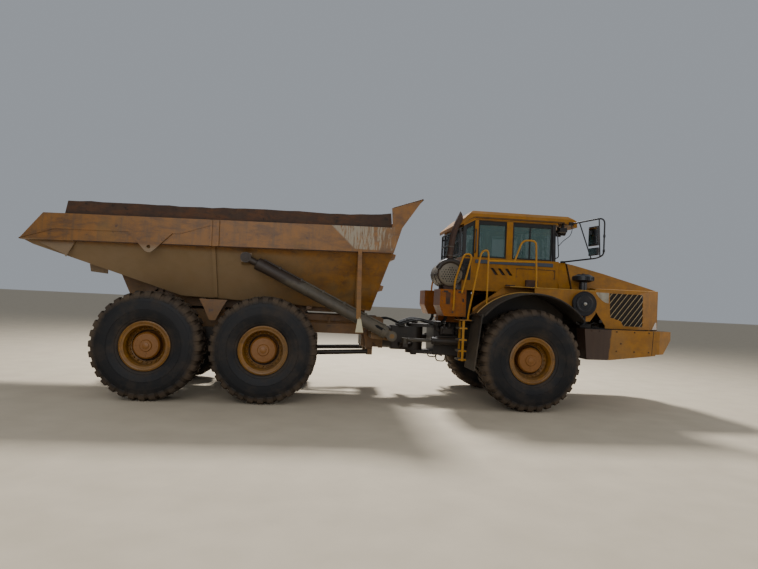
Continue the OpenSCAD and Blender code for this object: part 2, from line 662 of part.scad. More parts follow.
// Front frame: two rails arched over the axle, cross members and the joint's ears
beam_rear = pivot[0] + 310;
module front_frame() {
    rail_in = rail_out - rail_w;
    block_low = pivot[2] - 219;
    block_high = pivot[2] + 219;
    color(dark) from_front_axle() difference() {
        union() {
            both_sides() {
                side_plate([
                    [beam_rear, 800], [-820, 800], [-520, arch_under], [520, arch_under], [700, 960], [2300, 960],
                    [2300, 1300], [1250, frame_top], [beam_rear, frame_top]], rail_in, rail_out);
                // Clevis of a steering cylinder
                for (z = [steer_base[2] + steer_eye_h / 2 + 1, steer_base[2] - steer_eye_h / 2 - 26])
                    translate([0, 0, z]) linear_extrude(25) polygon([
                        [steer_base[0] - 40, rail_out - 1], [steer_base[0] - 50, steer_base[1] + 30],
                        [steer_base[0] - 25, steer_base[1] + 55], [steer_base[0] + 25, steer_base[1] + 55],
                        [steer_base[0] + 80, rail_out - 1]]);
                translate([steer_base[0], steer_base[1], steer_base[2] - 56]) cylinder(h = 112, r = steer_pin_r);
                // Pedestals under the cab
                for (x = [-900, 480])
                    box([x, rail_in, frame_top - 1], [x + 120, rail_out, cab_floor - gap]);
            }
            box([beam_rear, -rail_in - 1, 800], [beam_rear + 150, rail_in + 1, frame_top]);
            for (x = [-420, 760, 2120]) box([x, -rail_in - 1, 1130], [x + 90, rail_in + 1, 1290]);
            for (z = [block_high + gap, block_low - gap - ear_t]) hull() {
                translate([pivot[0], 0, z]) cylinder(h = ear_t, r = ear_r, $fn = 32);
                box([beam_rear, -300, z], [beam_rear + 40, 300, z + ear_t]);
            }
        }
        translate([pivot[0], 0, block_low - 200]) cylinder(h = 900, r = pivot_r + gap);
        // Room for the drive shaft
        translate([0, 0, shaft_z]) along_x(-500, 870, shaft_r + 14);
    }
}

// Engine with its cooler, and the gearbox under the cab, as plain blocks
engine_x = [880, 2080];
module powertrain() {
    half = rail_out - rail_w - 5;
    color(dark) from_front_axle() {
        box([engine_x[0], -half, shaft_z - 80], [engine_x[1], half, frame_top]);
        box([engine_x[0], -330, frame_top + gap], [engine_x[1], 330, 1950]);
        // Cooler on its foot
        box([2160, -560, 1340], [2280, 560, 2000]);
        box([2160, -200, 1290 + gap], [2205, 200, 1341]);
        box([-1000, -250, 870], [-430, 250, 1380]);
        translate([0, 0, shaft_z]) along_x(-431, engine_x[0] + 1, shaft_r);
    }
}

// Cab: floor, lower walls, pillars and cowl in one piece
module cab_body() {
    h = cab_half;
    t = cab_wall;
    door_sill = deck_z + sheet + 5;
    color(yellow) from_front_axle() {
        difference() {
            box([cab_rear, -h, cab_floor], [cab_front, h, sill_z]);
            box([cab_rear + t, -h + t, cab_floor + t], [cab_front - t, h - t, sill_z + 1]);
            // Door opening on the left
            box([pillar_mid[1], h - t - 1, door_sill], [door_x[1] + 8, h + 1, sill_z + 1]);
            // Vent slots on the right, and the recessed panel beside them
            for (i = [0 : 2]) side_plate([
                [-560 + 135 * i, 2440], [-500 + 135 * i, 2440], [-410 + 135 * i, 2320], [-470 + 135 * i, 2320]],
                -h - 1, -h + t + 1);
            box([-80, -h - 1, 2290], [660, -h + 10, 2460]);
        }
        // Yellow pillars
        for (p = [pillar_rear, pillar_mid]) {
            box([p[0], -h, sill_z - 1], [p[1], -h + t, window_top + 1]);
            box([p[0], h - t, sill_z - 1], [p[1], h, window_top + 1]);
        }
        // Header under the roof
        difference() {
            side_plate([
                [cab_rear, fallen(window_top, cab_rear)], [pillar_rear[0], window_top], [cab_front - 40, window_top],
                [cab_front - 40, roof_low], [pillar_rear[0], roof_low], [cab_rear, fallen(roof_low, cab_rear)]], -h, h);
            box([cab_rear + t, -h + t, sill_z + 10], [cab_front - 40 - t, h - t, roof_low + 1]);
        }
        // Cowl between the cab and the hood
        intersection() {
            hood_section(0);
            box([cab_front - 1, -hood_top_half, deck_z + sheet + gap], [hood_rear - split, hood_top_half, sill_z]);
        }
        // Lower halves of the door's hinges, with their pins
        for (z = door_hinges) {
            box([door_pivot[0] - 42, h - 1, z], [door_pivot[0], h + 12, z + 40]);
            translate([door_pivot[0], door_pivot[1], z]) cylinder(h = 40, r = knuckle_r);
            translate([door_pivot[0], door_pivot[1], z + 39]) cylinder(h = 42, r = door_pin_r);
        }
    }
}
// Black posts at the cab's corners, with the guard over the rear window
guard_x = cab_rear - 56;
guard_z = [sill_z + 30, window_top - 150];
guard_pitch = 110;
function post_top(x) = fallen(window_top, x) - gap;
module cab_posts() {
    h = cab_half;
    t = cab_wall - 10;
    color(dark) from_front_axle() both_sides() {
        side_plate([
            [cab_rear + gap, sill_z + gap], [cab_rear + 55, sill_z + gap], [cab_rear + 55, post_top(cab_rear + 55)],
            [cab_rear + gap, post_top(cab_rear + gap)]], h - t - 5, h - 5);
        side_plate([
            [600, sill_z + gap], [660, sill_z + gap], [640, window_top - gap], [580, window_top - gap]], h - t - 5, h - 5);
        // Guard behind the rear window: arms on the posts, side members, then rails and bars across
        for (z = [guard_z[0] + 60, guard_z[1] - 90]) box([guard_x, h - 43, z], [cab_rear + 1, h - 17, z + 30]);
        box([guard_x, h - 43, guard_z[0]], [guard_x + 24, h - 17, guard_z[1]]);
    }
    color(dark) from_front_axle() {
        for (z = [guard_z[0], (guard_z[0] + guard_z[1]) / 2, guard_z[1] - 24])
            box([guard_x, -h + 42, z], [guard_x + 24, h - 42, z + 24]);
        for (i = [-6 : 6])
            box([guard_x + 6, guard_pitch * i - 6, guard_z[0] + 1], [guard_x + 18, guard_pitch * i + 6, guard_z[1] - 1]);
    }
}
pane = 8;
module cab_glass() {
    h = cab_half - 25;
    low = sill_z + gap;
    high = window_top - gap;
    color(glass_tint) from_front_axle() {
        // Right side, in three panes, and the left rear quarter
        for (x = [[pillar_rear[1], pillar_mid[0]], [pillar_mid[1], 580]])
            box([x[0] + gap, -h, low], [x[1] - gap, -h + pane, high]);
        box([pillar_rear[1] + gap, h - pane, low], [pillar_mid[0] - gap, h, high]);
        both_sides() side_plate([
            [cab_rear + 55 + gap, low], [pillar_rear[0] - gap, low], [pillar_rear[0] - gap, post_top(pillar_rear[0] - gap)],
            [cab_rear + 55 + gap, post_top(cab_rear + 55 + gap)]], h - pane, h);
        box([cab_rear + 15, -h + 40, low], [cab_rear + 15 + pane, h - 40, post_top(cab_rear + 15)]);
        // Windshield with its swept corners
        for (s = [[-550, 550], [-750, -560], [560, 750]]) hull() {
            windshield_line(s, low, 0);
            windshield_line(s, high - 0.5, -110);
        }
    }
}
module windshield_line(s, z, back) {
    for (y = s) translate([(abs(y) > 600 ? cab_front - 65 : cab_front - 30) + back * 0.5, y, z])
        translate([0, y > 0 ? -pane / 2 : 0, 0]) cube([pane, pane / 2, 0.5]);
}
// Roof with a low crown, drawn as a profile from the side cut by one from the front
roof_rear = cab_rear - 90;
module cab_roof() {
    h = cab_half + 20;
    color(yellow) from_front_axle() intersection() {
        side_plate([
            [roof_rear, fallen(roof_low + gap, roof_rear)], [pillar_rear[0], roof_low + gap], [800, roof_low + gap],
            [1010, roof_low - 75], [1040, roof_low - 62], [1025, roof_low + 45], [820, roof_low + 170],
            [-760, roof_low + 200], [pillar_rear[0] - 60, roof_low + 120],
            [roof_rear - 10, fallen(roof_low, roof_rear) + 55]], -h, h);
        cross_prism([
            [-h, roof_low - 330], [h, roof_low - 330], [h, roof_low + 75], [h - 60, roof_low + 132],
            [0, roof_low + 200], [-h + 60, roof_low + 132], [-h, roof_low + 75]], -1300, 1050);
    }
}

// Cab door on the left, hinged at its rear edge
door_pivot = [pillar_mid[1] + 4, cab_half + 14];
door_hinges = [2300, window_top - 210];
knuckle_r = 13;
door_pin_r = 7;
door_x = [pillar_mid[1] + 8, 578];
module door_outline(inset, t) {
    h = cab_half;
    low = deck_z + sheet + 12 + inset;
    side_plate([
        [door_x[0] + inset, low], [door_x[1] - inset, low],
        [door_x[1] - inset, sill_z + 5], [door_x[1] - inset - 18, window_top - 5 - inset],
        [door_x[0] + inset, window_top - 5 - inset]], h - t, h - 1);
}
module cab_door() {
    color(yellow) from_front_axle() difference() {
        union() {
            difference() {
                door_outline(0, 46);
                intersection() {
                    door_outline(70, 100);
                    box([-2000, 0, sill_z + 20], [2000, 2000, 4000]);
                }
            }
            box([door_x[1] - 190, cab_half - 2, 2500], [door_x[1] - 60, cab_half + 30, 2530]);
            for (z = door_hinges) {
                translate([door_pivot[0], door_pivot[1], z + 40 + gap]) cylinder(h = 40, r = knuckle_r);
                box([door_pivot[0], cab_half - 2, z + 40 + gap], [door_pivot[0] + 42, cab_half + 12, z + 80]);
            }
        }
        for (z = door_hinges)
            translate([door_pivot[0], door_pivot[1], z + 30]) cylinder(h = 60, r = door_pin_r + gap);
    }
}
module door_glass() {
    color(glass_tint) from_front_axle() intersection() {
        door_outline(70 + gap, 30);
        box([-2000, cab_half - 30, sill_z + 20 + gap], [2000, cab_half - 20, 4000]);
    }
}

// Operator's seat: base, cushion and backrest
floor_top = cab_floor + cab_wall + gap;
head_gap = 200;
module seat() {
    back_top = window_top - head_gap;
    color(dark) from_front_axle() {
        box([-560, -200, floor_top], [-160, 200, floor_top + 330]);
        box([-620, -260, floor_top + 329], [-100, 260, floor_top + 450]);
        side_plate([
            [-700, floor_top + 400], [-560, floor_top + 400], [-610, back_top - 10], [-680, back_top],
            [-760, back_top - 120]], -240, 240);
    }
}
// Dashboard and steering wheel
module cab_interior() {
    color(dark) from_front_axle() {
        // Dashboard against the front wall, with the column and the wheel
        side_plate([
            [360, floor_top + 420], [cab_front - cab_wall - gap, floor_top + 300],
            [cab_front - cab_wall - gap, sill_z - 20], [440, sill_z - 10], [360, sill_z - 70]], -520, 520);
        box([420, -120, floor_top], [560, 120, floor_top + 430]);
        bar([440, 0, sill_z - 120], [190, 0, sill_z + 60], 28);
        translate([190, 0, sill_z + 60]) rotate([0, -54, 0]) {
            rotate_extrude() translate([210, 0]) circle(r = 16, $fn = 20);
            bar([-205, 0, 0], [205, 0, 0], 12);
            bar([0, -205, 0], [0, 205, 0], 12);
        }
    }
}

// Hood: three profiles cut from one another, then hollowed by the same three
module hood_section(t) {
    cross_prism([
        [-hood_half + t, 1000], [hood_half - t, 1000], [hood_half - t, shoulder_z - 60],
        [hood_half - 40 - t, shoulder_z - t], [hood_top_half - t, shoulder_z + 20 - t], [600 - t, 2620 - t], [-600 + t, 2620 - t],
        [-hood_top_half + t, shoulder_z + 20 - t], [-hood_half + 40 + t, shoulder_z - t], [-hood_half + t, shoulder_z - 60]],
        600, 2800);
}
module hood_side(t) {
    low = t > 0 ? hood_low - 100 : hood_low;
    rear = t > 0 ? hood_rear - 20 : hood_rear;
    side_plate([
        [rear, low], [2700 - t, low], [2690 - t, 1990], [2650 - t, 2110], [2575 - t, 2180 - t], [2300, 2262 - t],
        [1640, 2450 - t], [1074, 2590 - t], [rear, 2612 - t]], -1200, 1200);
}
module hood_plan(t) {
    translate([0, 0, 1200]) linear_extrude(1600) polygon([
        [hood_rear - 30, -hood_top_half + t], [hood_wide_from + t, -hood_top_half + t], [hood_wide_from + t, -1200], [1500, -1200],
        [2350, -1060 + t], [2600 - t / 2, -900 + t], [2700 - t, -620], [2700 - t, 620], [2600 - t / 2, 900 - t],
        [2350, 1060 - t], [1500, 1200], [hood_wide_from + t, 1200], [hood_wide_from + t, hood_top_half - t],
        [hood_rear - 30, hood_top_half - t]]);
}
slot_pitch = 97;
slot_w = 64;
GRILLE = [[1558, 2082], [2135, 2082], [2200, 1965], [2214, 1530], [1840, 1500], [1782, 1592], [1582, 1650]];
SCREEN = [[1535, 2100], [2150, 2100], [2225, 1970], [2238, 1508], [1826, 1478], [1765, 1572], [1556, 1632]];
screen_in = hood_half - sheet - 46;
opening_half = 440;
module hood() {
    color(yellow) from_front_axle() difference() {
        union() {
            intersection() {
                hood_section(0);
                hood_side(0);
                hood_plan(0);
            }
            // Ears on the bumper's hinge pins
            for (y = hood_ears) side_plate([
                [2689, 1456], [2689, 1540], [2735, 1490], [2742, 1470], [2738, 1455], [2730, 1450], [2700, 1450]],
                y - 8, y + 8);
        }
        difference() {
            intersection() {
                hood_section(sheet);
                hood_side(sheet);
                hood_plan(sheet);
            }
            // Screens behind the side grilles stay solid
            both_sides() side_plate(SCREEN, screen_in, hood_half + 100);
        }
        // Side grilles: slanted slots inside a cut-off window
        both_sides() intersection() {
            side_plate(GRILLE, screen_in + 10, hood_half + 40);
            union() for (i = [0 : 10]) {
                x = 1140 + i * slot_pitch;
                side_plate([[x, 1450], [x + slot_w, 1450], [x + slot_w + 500, 2100], [x + 500, 2100]],
                    screen_in + 9, hood_half + 50);
            }
        }
        // Room for the fenders' decks and the air cleaner
        side_plate([
            [hood_rear - 50, 1000], [hood_rear - 50, deck_z + sheet + 5], [hood_wide_from - 4, deck_z + sheet + 5],
            [hood_wide_from - 4, 1760], [1400, 1620], [1490, 1500], [1500, 1000]], -1300, 1300);
        // Front opening for the cooler's air
        for (i = [0 : 4]) box([2600, -opening_half, 1570 + i * 85], [2800, opening_half, 1618 + i * 85]);
        translate([hood_hinge[0], 0, hood_hinge[2]]) along_y(-1000, 1000, hood_pin_r + gap);
    }
}
// Headlamps in pairs beside the front opening
lamp_r = 60;
function nose_x(z) = 2700 - (z - hood_low) / 54;
module headlamps() {
    color(steel) from_front_axle() both_sides() for (z = [1660, 1810]) translate([0, opening_half + 95, z]) {
        along_x(nose_x(z - lamp_r) + gap, nose_x(z) + 16, lamp_r);
        along_x(nose_x(z) + 15, nose_x(z) + 24, lamp_r - 14);
    }
}
hood_ears = [-430, 430];
hood_pin_r = 12;

// Front bumper: two side boxes joined by the nose
module bumper() {
    b = bumper_half;
    color(yellow) from_front_axle() {
        both_sides() {
            side_plate([[1080, 900], [1030, 1435], [2350, 1440], [2350, 1010], [1500, 905]], b - 330, b);
            box([1700, rail_out + gap, 1000], [1850, b - 329, 1180]);
        }
        // Lugs with the hood's hinge pins
        for (y = hood_ears) {
            for (side = [-1, 1]) translate([0, y + side * (8 + gap + 10), 0])
                side_plate([[2708, 1439], [2708, 1472], [2714, 1479], [2738, 1479], [2744, 1472], [2744, 1439]], -10, 10);
            translate([hood_hinge[0], 0, hood_hinge[2]]) along_y(y - 20, y + 20, hood_pin_r);
        }
        intersection() {
            side_plate([
                [2349, 1030], [2349, 1440], [nose_ahead, 1440], [nose_ahead, 1395], [2520, 1040]], -b, b);
            translate([0, 0, 900]) linear_extrude(600) polygon([
                [2300, -b], [2420, -b], [2700, -b + 120], [nose_ahead, -b + 330], [nose_ahead, b - 330],
                [2700, b - 120], [2420, b], [2300, b]]);
        }
    }
}

// Front fenders: wheel house, arch, deck and skirt on each side
module fenders() {
    t = sheet;
    color(yellow) from_front_axle() difference() {
        both_sides() {
            // Inner wall and the shelf that carries it on the frame
            side_plate([
                [-860, frame_top + gap], [820, frame_top + gap], [820, deck_z], [-300, deck_z], [-500, 1960],
                [-860, 1700]], house_in, house_in + t);
            box([-860, rail_out + gap, frame_top + gap], [820, house_in + 1, frame_top + t]);
            for (x = [[-770, 470], [610, 820]])
                box([x[0], rail_out - rail_w + 10, frame_top + gap], [x[1], rail_out + 1, frame_top + t]);
            // Arch over the tyre
            intersection() {
                translate([0, 0, axle_z]) difference() {
                    along_y(house_in, deck_out, arch_r);
                    along_y(house_in - 1, deck_out + 1, arch_r - t);
                }
                side_plate([[0, axle_z], [1500, axle_z + 1180], [1500, 2400], [-1500, 2400], [-1500, axle_z + 1180]],
                    house_in - 1, deck_out + 1);
            }
            // Deck and skirt ahead of the cab's middle
            box([-300, house_in, deck_z], [hood_wide_from - split, deck_out, deck_z + t]);
            side_plate([
                [150, deck_z + 1], [150, 1995], [600, 1880], [880, 1640], [960, 1560], [1180, 1560],
                [hood_wide_from - split, 1700], [hood_wide_from - split, deck_z + 1]], deck_out - t, deck_out);
            // Bracket plate that carries the upper step and a handrail
            box([-1180, house_in - 40, bracket_z], [-930, deck_out + 30, bracket_z + 16]);
            box([-931, house_in - 40, bracket_z], [-850, tyre_inner + 5, bracket_z + 16]);
            box([-861, house_in - 40, frame_top + gap], [-849, tyre_inner + 5, 1640]);
            box([-861, rail_out + gap, frame_top + gap], [-849, house_in - 39, bracket_z]);
        }
        // The air cleaner's canister in the right-hand skirt, and its neck in the deck
        translate([cleaner[0], 0, cleaner[2]]) along_y(-deck_out - 10, -deck_out + 50, canister_r + gap);
        translate([cleaner[0] + neck_ahead, cleaner[1], deck_z - 20]) cylinder(h = 60, r = neck_r + gap);
    }
}
// Rubber flares over the tyres and flaps behind them
module mud_flaps() {
    color(rubber) from_front_axle() both_sides() {
        translate([0, 0, axle_z]) rotate([90, 0, 0]) translate([0, 0, -flare_out])
            rotate_extrude(angle = 102, start = 38, $fn = 96)
                translate([arch_r - 42, 0]) square([26, flare_out - deck_out - gap]);
        side_plate([[-905, 1565], [-885, 1565], [-985, 660], [-1005, 660]], tyre_inner + 20, flare_out - 30);
        side_plate([[-905, 1620], [-850, 1600], [-880, 1550], [-905, 1550]], deck_out + 5, flare_out - 30);
    }
}

// Boxes behind the cab: oil tank on the right, battery box on the left
side_box_top = 2010;
module side_boxes() {
    color(yellow) from_front_axle() both_sides() {
        side_plate([
            [-1500, 1720], [-1420, 1540], [-1030, 1540], [-1030, side_box_top], [-1500, side_box_top]], 450, 1000);
        box([-1250, rail_out - rail_w, frame_top + gap], [-1000, 449, 1700]);
        box([-1250, 448, 1560], [-1050, 451, 1700]);
    }
}
// Exhaust: silencer across the back of the cab, with the raked stack
muffler_r = 215;
stack_r = 55;
stack_top = window_top + 60;
module exhaust() {
    y = -cab_half - 80;
    color(dark) from_front_axle() {
        translate([-1320, 0, side_box_top + 60 + muffler_r]) along_y(y - 60, -240, muffler_r);
        for (w = [[-900, -840], [-520, -460]])
            box([-1420, w[0], side_box_top + gap], [-1220, w[1], side_box_top + 140]);
        for (band_y = [y - 30, y + 250, -290])
            translate([-1320, 0, side_box_top + 60 + muffler_r]) along_y(band_y, band_y + 30, muffler_r + 6);
        difference() {
            tube(rounded([[-1340, y, 2400], [-1322, y, 2730], [-1275, y, 3070], [-1120, y, stack_top + 60]], 140), stack_r);
            translate([-1152, y, stack_top]) rotate([0, -22, 0]) box([0, -100, -300], [300, 100, 300]);
        }
    }
}
// Air cleaner's canister and the mushroom on its neck
module air_cleaner() {
    color(dark) from_front_axle() {
        translate([cleaner[0], 0, cleaner[2]]) {
            along_y(-deck_out - 50, -hood_top_half - 5, canister_r);
            along_y(-deck_out - 75, -deck_out - 49, cleaner_r);
            along_y(-deck_out - 90, -deck_out - 74, cleaner_r - 60);
        }
        translate([cleaner[0] + neck_ahead, cleaner[1], 0]) {
            translate([0, 0, cleaner[2] + 100]) cylinder(h = 330, r = neck_r);
            translate([0, 0, 2260]) cylinder(h = 30, r1 = 110, r2 = 185);
            translate([0, 0, 2290]) cylinder(h = 70, r = 185);
            translate([0, 0, 2360]) cylinder(h = 30, r1 = 185, r2 = 120);
        }
    }
}

// Steps behind each front wheel, and the yellow handrails
module access_rails() {
    r = 17;
    y1 = 1000 + r + gap;
    y2 = deck_out - 20;
    deck_top = deck_z + sheet + gap;
    color(rail_yellow) from_front_axle() {
        both_sides() {
            // Steps hanging from the bracket plate
            for (z = [790, 940, 1130, 1330]) box([-1170, 900, z], [-1030, 1160, z + 24]);
            for (y = [900, 1148]) box([-1120, y, 780], [-1080, y + 12, bracket_z - gap]);
            // Hoop beside the box, and the tall hoop over the fender's rear
            tube(rounded([
                [-1255, y1, 1660], [-1255, y1, 2150], [-1105, y1, 2650], [-960, y1, 2640], [-1120, y1, 1950]], 90), r);
            box([-1270, 1000 + gap, 1650], [-1240, y1, 1690]);
            tube(rounded([
                [-1020, y2, bracket_z + 16 + gap], [-1020, y2, bracket_z + 90], [-830, y2, 2700], [-700, y2, 2730],
                [-700, y2, axle_z + sqrt(arch_r * arch_r - pow(700 - r, 2)) + gap]], 110), r);
        }
        // Rail and raised guard along the right-hand deck
        tube([[-699, -y2, 2540], [180, -y2, 2560]], r);
        tube(rounded([
            [-230, -y2, 2551], [-100, -y2, 2930], [150, -y2, 2940], [180, -y2, deck_top + 90], [180, -y2, deck_top]],
            90), r);
        tube(rounded([
            [700, y2, deck_top], [700, y2, 2830], [900, y2, 2830], [940, y2, deck_top + 90], [940, y2, deck_top]],
            90), r);
    }
}

// Mirrors on tube frames at both front corners of the roof
module mirrors() {
    r = 14;
    y1 = 1290;
    color(dark) from_front_axle() both_sides() {
        tube(rounded([
            [910, cab_half + 45, roof_low - 10], [1270, y1 - 20, roof_low + 60], [1320, y1, roof_low + 10],
            [1320, y1, sill_z + 120], [1250, y1 - 130, sill_z + 70], [900, 600, sill_z + 20]], 60), r);
        tube([[1010, cab_half + 160, roof_low + 12], [1190, y1 - 200, sill_z + 64]], r - 3);
        tube([[1245, y1 - 60, roof_low + 53], [1282, y1 - 60, sill_z + 95]], r - 3);
        // Roof bracket, foot on the cowl, and the two mirror heads
        box([870, cab_half + 20 + gap, roof_low - 40], [950, cab_half + 60, roof_low + 20]);
        box([860, 540, sill_z + gap], [925, 620, 2655]);
        for (m = [[2900, 340, 1140, 1180], [2730, 130, 1150, 1180]]) hull() {
            translate([m[2], y1 - 180, m[0]]) cylinder(h = m[1], r = 20, $fn = 24);
            translate([m[3], y1 + 60, m[0]]) cylinder(h = m[1], r = 20, $fn = 24);
        }
        tube([[1150, y1 - 100, 3060], [1262, y1 - 60, 3060]], 10);
        tube([[1155, y1 - 90, 2800], [1276, y1 - 60, 2800]], 10);
    }
}

rear_frame();
rear_axles();
bogie_beams();
hitch();
dump_body();
body_sills();
body_rails();
sideboards();
front_frame();
front_axle_tube();
powertrain();
cab_body();
cab_posts();
cab_roof();
cab_glass();
cab_door();
door_glass();
cab_interior();
seat();
hood();
headlamps();
bumper();
fenders();
mud_flaps();
side_boxes();
exhaust();
air_cleaner();
access_rails();
mirrors();
for (s = SIDES) {
    steer_barrel(s);
    steer_rod(s);
    hoist_barrel(s);
    hoist_rod(s);
}
for (w = WHEELS) {
    tyre(w);
    rim(w);
}
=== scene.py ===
import bpy, math, random
from mathutils import Matrix, Vector


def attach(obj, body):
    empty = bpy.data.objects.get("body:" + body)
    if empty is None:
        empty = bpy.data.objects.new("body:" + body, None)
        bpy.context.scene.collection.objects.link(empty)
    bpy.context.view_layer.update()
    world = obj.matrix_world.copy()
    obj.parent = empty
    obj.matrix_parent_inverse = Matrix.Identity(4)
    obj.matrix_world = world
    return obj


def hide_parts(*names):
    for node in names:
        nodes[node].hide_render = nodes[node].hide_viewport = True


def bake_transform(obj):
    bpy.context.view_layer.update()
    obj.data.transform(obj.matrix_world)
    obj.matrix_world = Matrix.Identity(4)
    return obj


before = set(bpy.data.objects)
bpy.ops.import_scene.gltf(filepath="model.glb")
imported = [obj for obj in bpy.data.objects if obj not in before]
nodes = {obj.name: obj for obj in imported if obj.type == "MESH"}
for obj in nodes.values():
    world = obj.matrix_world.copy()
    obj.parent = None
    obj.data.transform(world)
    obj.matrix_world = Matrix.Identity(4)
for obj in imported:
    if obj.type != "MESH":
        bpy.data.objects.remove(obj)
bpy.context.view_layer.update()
random.seed(35)
print("stage: frame loaded")

# camera and lamps
frontAxle = 2.745      # x of the front axle in the row frame
axleHeight = 0.865
wheelX = {"front": frontAxle, "middle": frontAxle - 4.451, "rear": frontAxle - 6.271}
wheelY = 1.267
sideSign = {"left": 1, "right": -1}

view = {"place": (-0.864, -10.786, 1.725), "yaw": 5.98, "pitch": 1.776, "roll": 2.77, "focal": 27.02,
        "sensor": 36.0, "reach": 300}
sky = {"Color": (0.78, 0.84, 0.92, 1), "Strength": 0.40}


def lookingMatrix():
    yaw, pitch, roll = (math.radians(view[turn]) for turn in ("yaw", "pitch", "roll"))
    ahead = Vector((math.sin(yaw) * math.cos(pitch), math.cos(yaw) * math.cos(pitch), math.sin(pitch)))
    side = Vector((math.cos(yaw), -math.sin(yaw), 0))
    top = side.cross(ahead)
    right = side * math.cos(roll) + top * math.sin(roll)
    above = top * math.cos(roll) - side * math.sin(roll)
    return Matrix.Translation(view["place"]) @ Matrix((right, above, -ahead)).transposed().to_4x4()


def makeCamera():
    data = bpy.data.cameras.new("photoCamera")
    data.lens, data.sensor_width, data.clip_end = view["focal"], view["sensor"], view["reach"]
    camera = bpy.data.objects.new("photoCamera", data)
    bpy.context.scene.collection.objects.link(camera)
    camera.matrix_world = lookingMatrix()
    bpy.context.scene.camera = camera


lamps = [  # name, place, aim, size, power
    ("keyLamp", (1.0, 8.0, 13.0), (0.0, 0.0, 1.0), 2.0, 4300),
    ("fillLamp", (-3.0, -15.0, 7.0), (0.0, 0.0, 1.4), 11.0, 820),
    ("backLamp", (-12.0, 4.0, 9.0), (-3.0, 0.0, 1.5), 6.0, 150),
    ("noseLamp", (13.0, -5.0, 5.0), (3.0, 0.0, 1.5), 6.0, 230),
]


def makeLamps():
    for name, place, aim, size, power in lamps:
        data = bpy.data.lights.new(name, "AREA")
        data.size, data.energy = size, power
        lamp = bpy.data.objects.new(name, data)
        bpy.context.scene.collection.objects.link(lamp)
        lamp.location = place
        lamp.rotation_euler = (Vector(aim) - Vector(place)).to_track_quat("-Z", "Y").to_euler()
    world = bpy.data.worlds.new("studioWorld")
    world.use_nodes = True
    for socket, value in sky.items():
        world.node_tree.nodes["Background"].inputs[socket].default_value = value
    bpy.context.scene.world = world


makeCamera()
makeLamps()
print("stage: camera and lamps")


# materials
def linearColor(text):
    parts = [int(text[i:i + 2], 16) / 255 for i in (1, 3, 5)]
    return [p / 12.92 if p <= 0.04045 else ((p + 0.055) / 1.055) ** 2.4 for p in parts] + [1.0]


# a value that is a node or a socket is linked, a hex colour is made linear, the rest is set as it is
def addNode(tree, kind, settings=None):
    node = tree.nodes.new("ShaderNode" + kind)
    for key, value in (settings or {}).items():
        source = value.outputs[0] if isinstance(value, bpy.types.Node) else value
        if isinstance(source, bpy.types.NodeSocket):
            tree.links.new(source, node.inputs[key])
        elif isinstance(key, int) or key in node.inputs:
            node.inputs[key].default_value = linearColor(value) if isinstance(value, str) else value
        else:
            setattr(node, key, value)
    return node


def newTree(name):
    material = bpy.data.materials.new(name)
    material.use_nodes = True
    material.node_tree.nodes.clear()
    return material, material.node_tree


def finishShader(tree, color, rough, height, settings, bumpDepth, bumpStrength):
    bump = addNode(tree, "Bump", {"Strength": bumpStrength, "Distance": bumpDepth, "Height": height})
    surface = {"Base Color": color, "Roughness": rough, "Normal": bump}
    shader = addNode(tree, "BsdfPrincipled", {**(settings or {}), **surface})
    addNode(tree, "OutputMaterial", {"Surface": shader})


usualCoats = {"under": "#4d3115", "grime": "#4a3a26", "rust": "#43291a"}


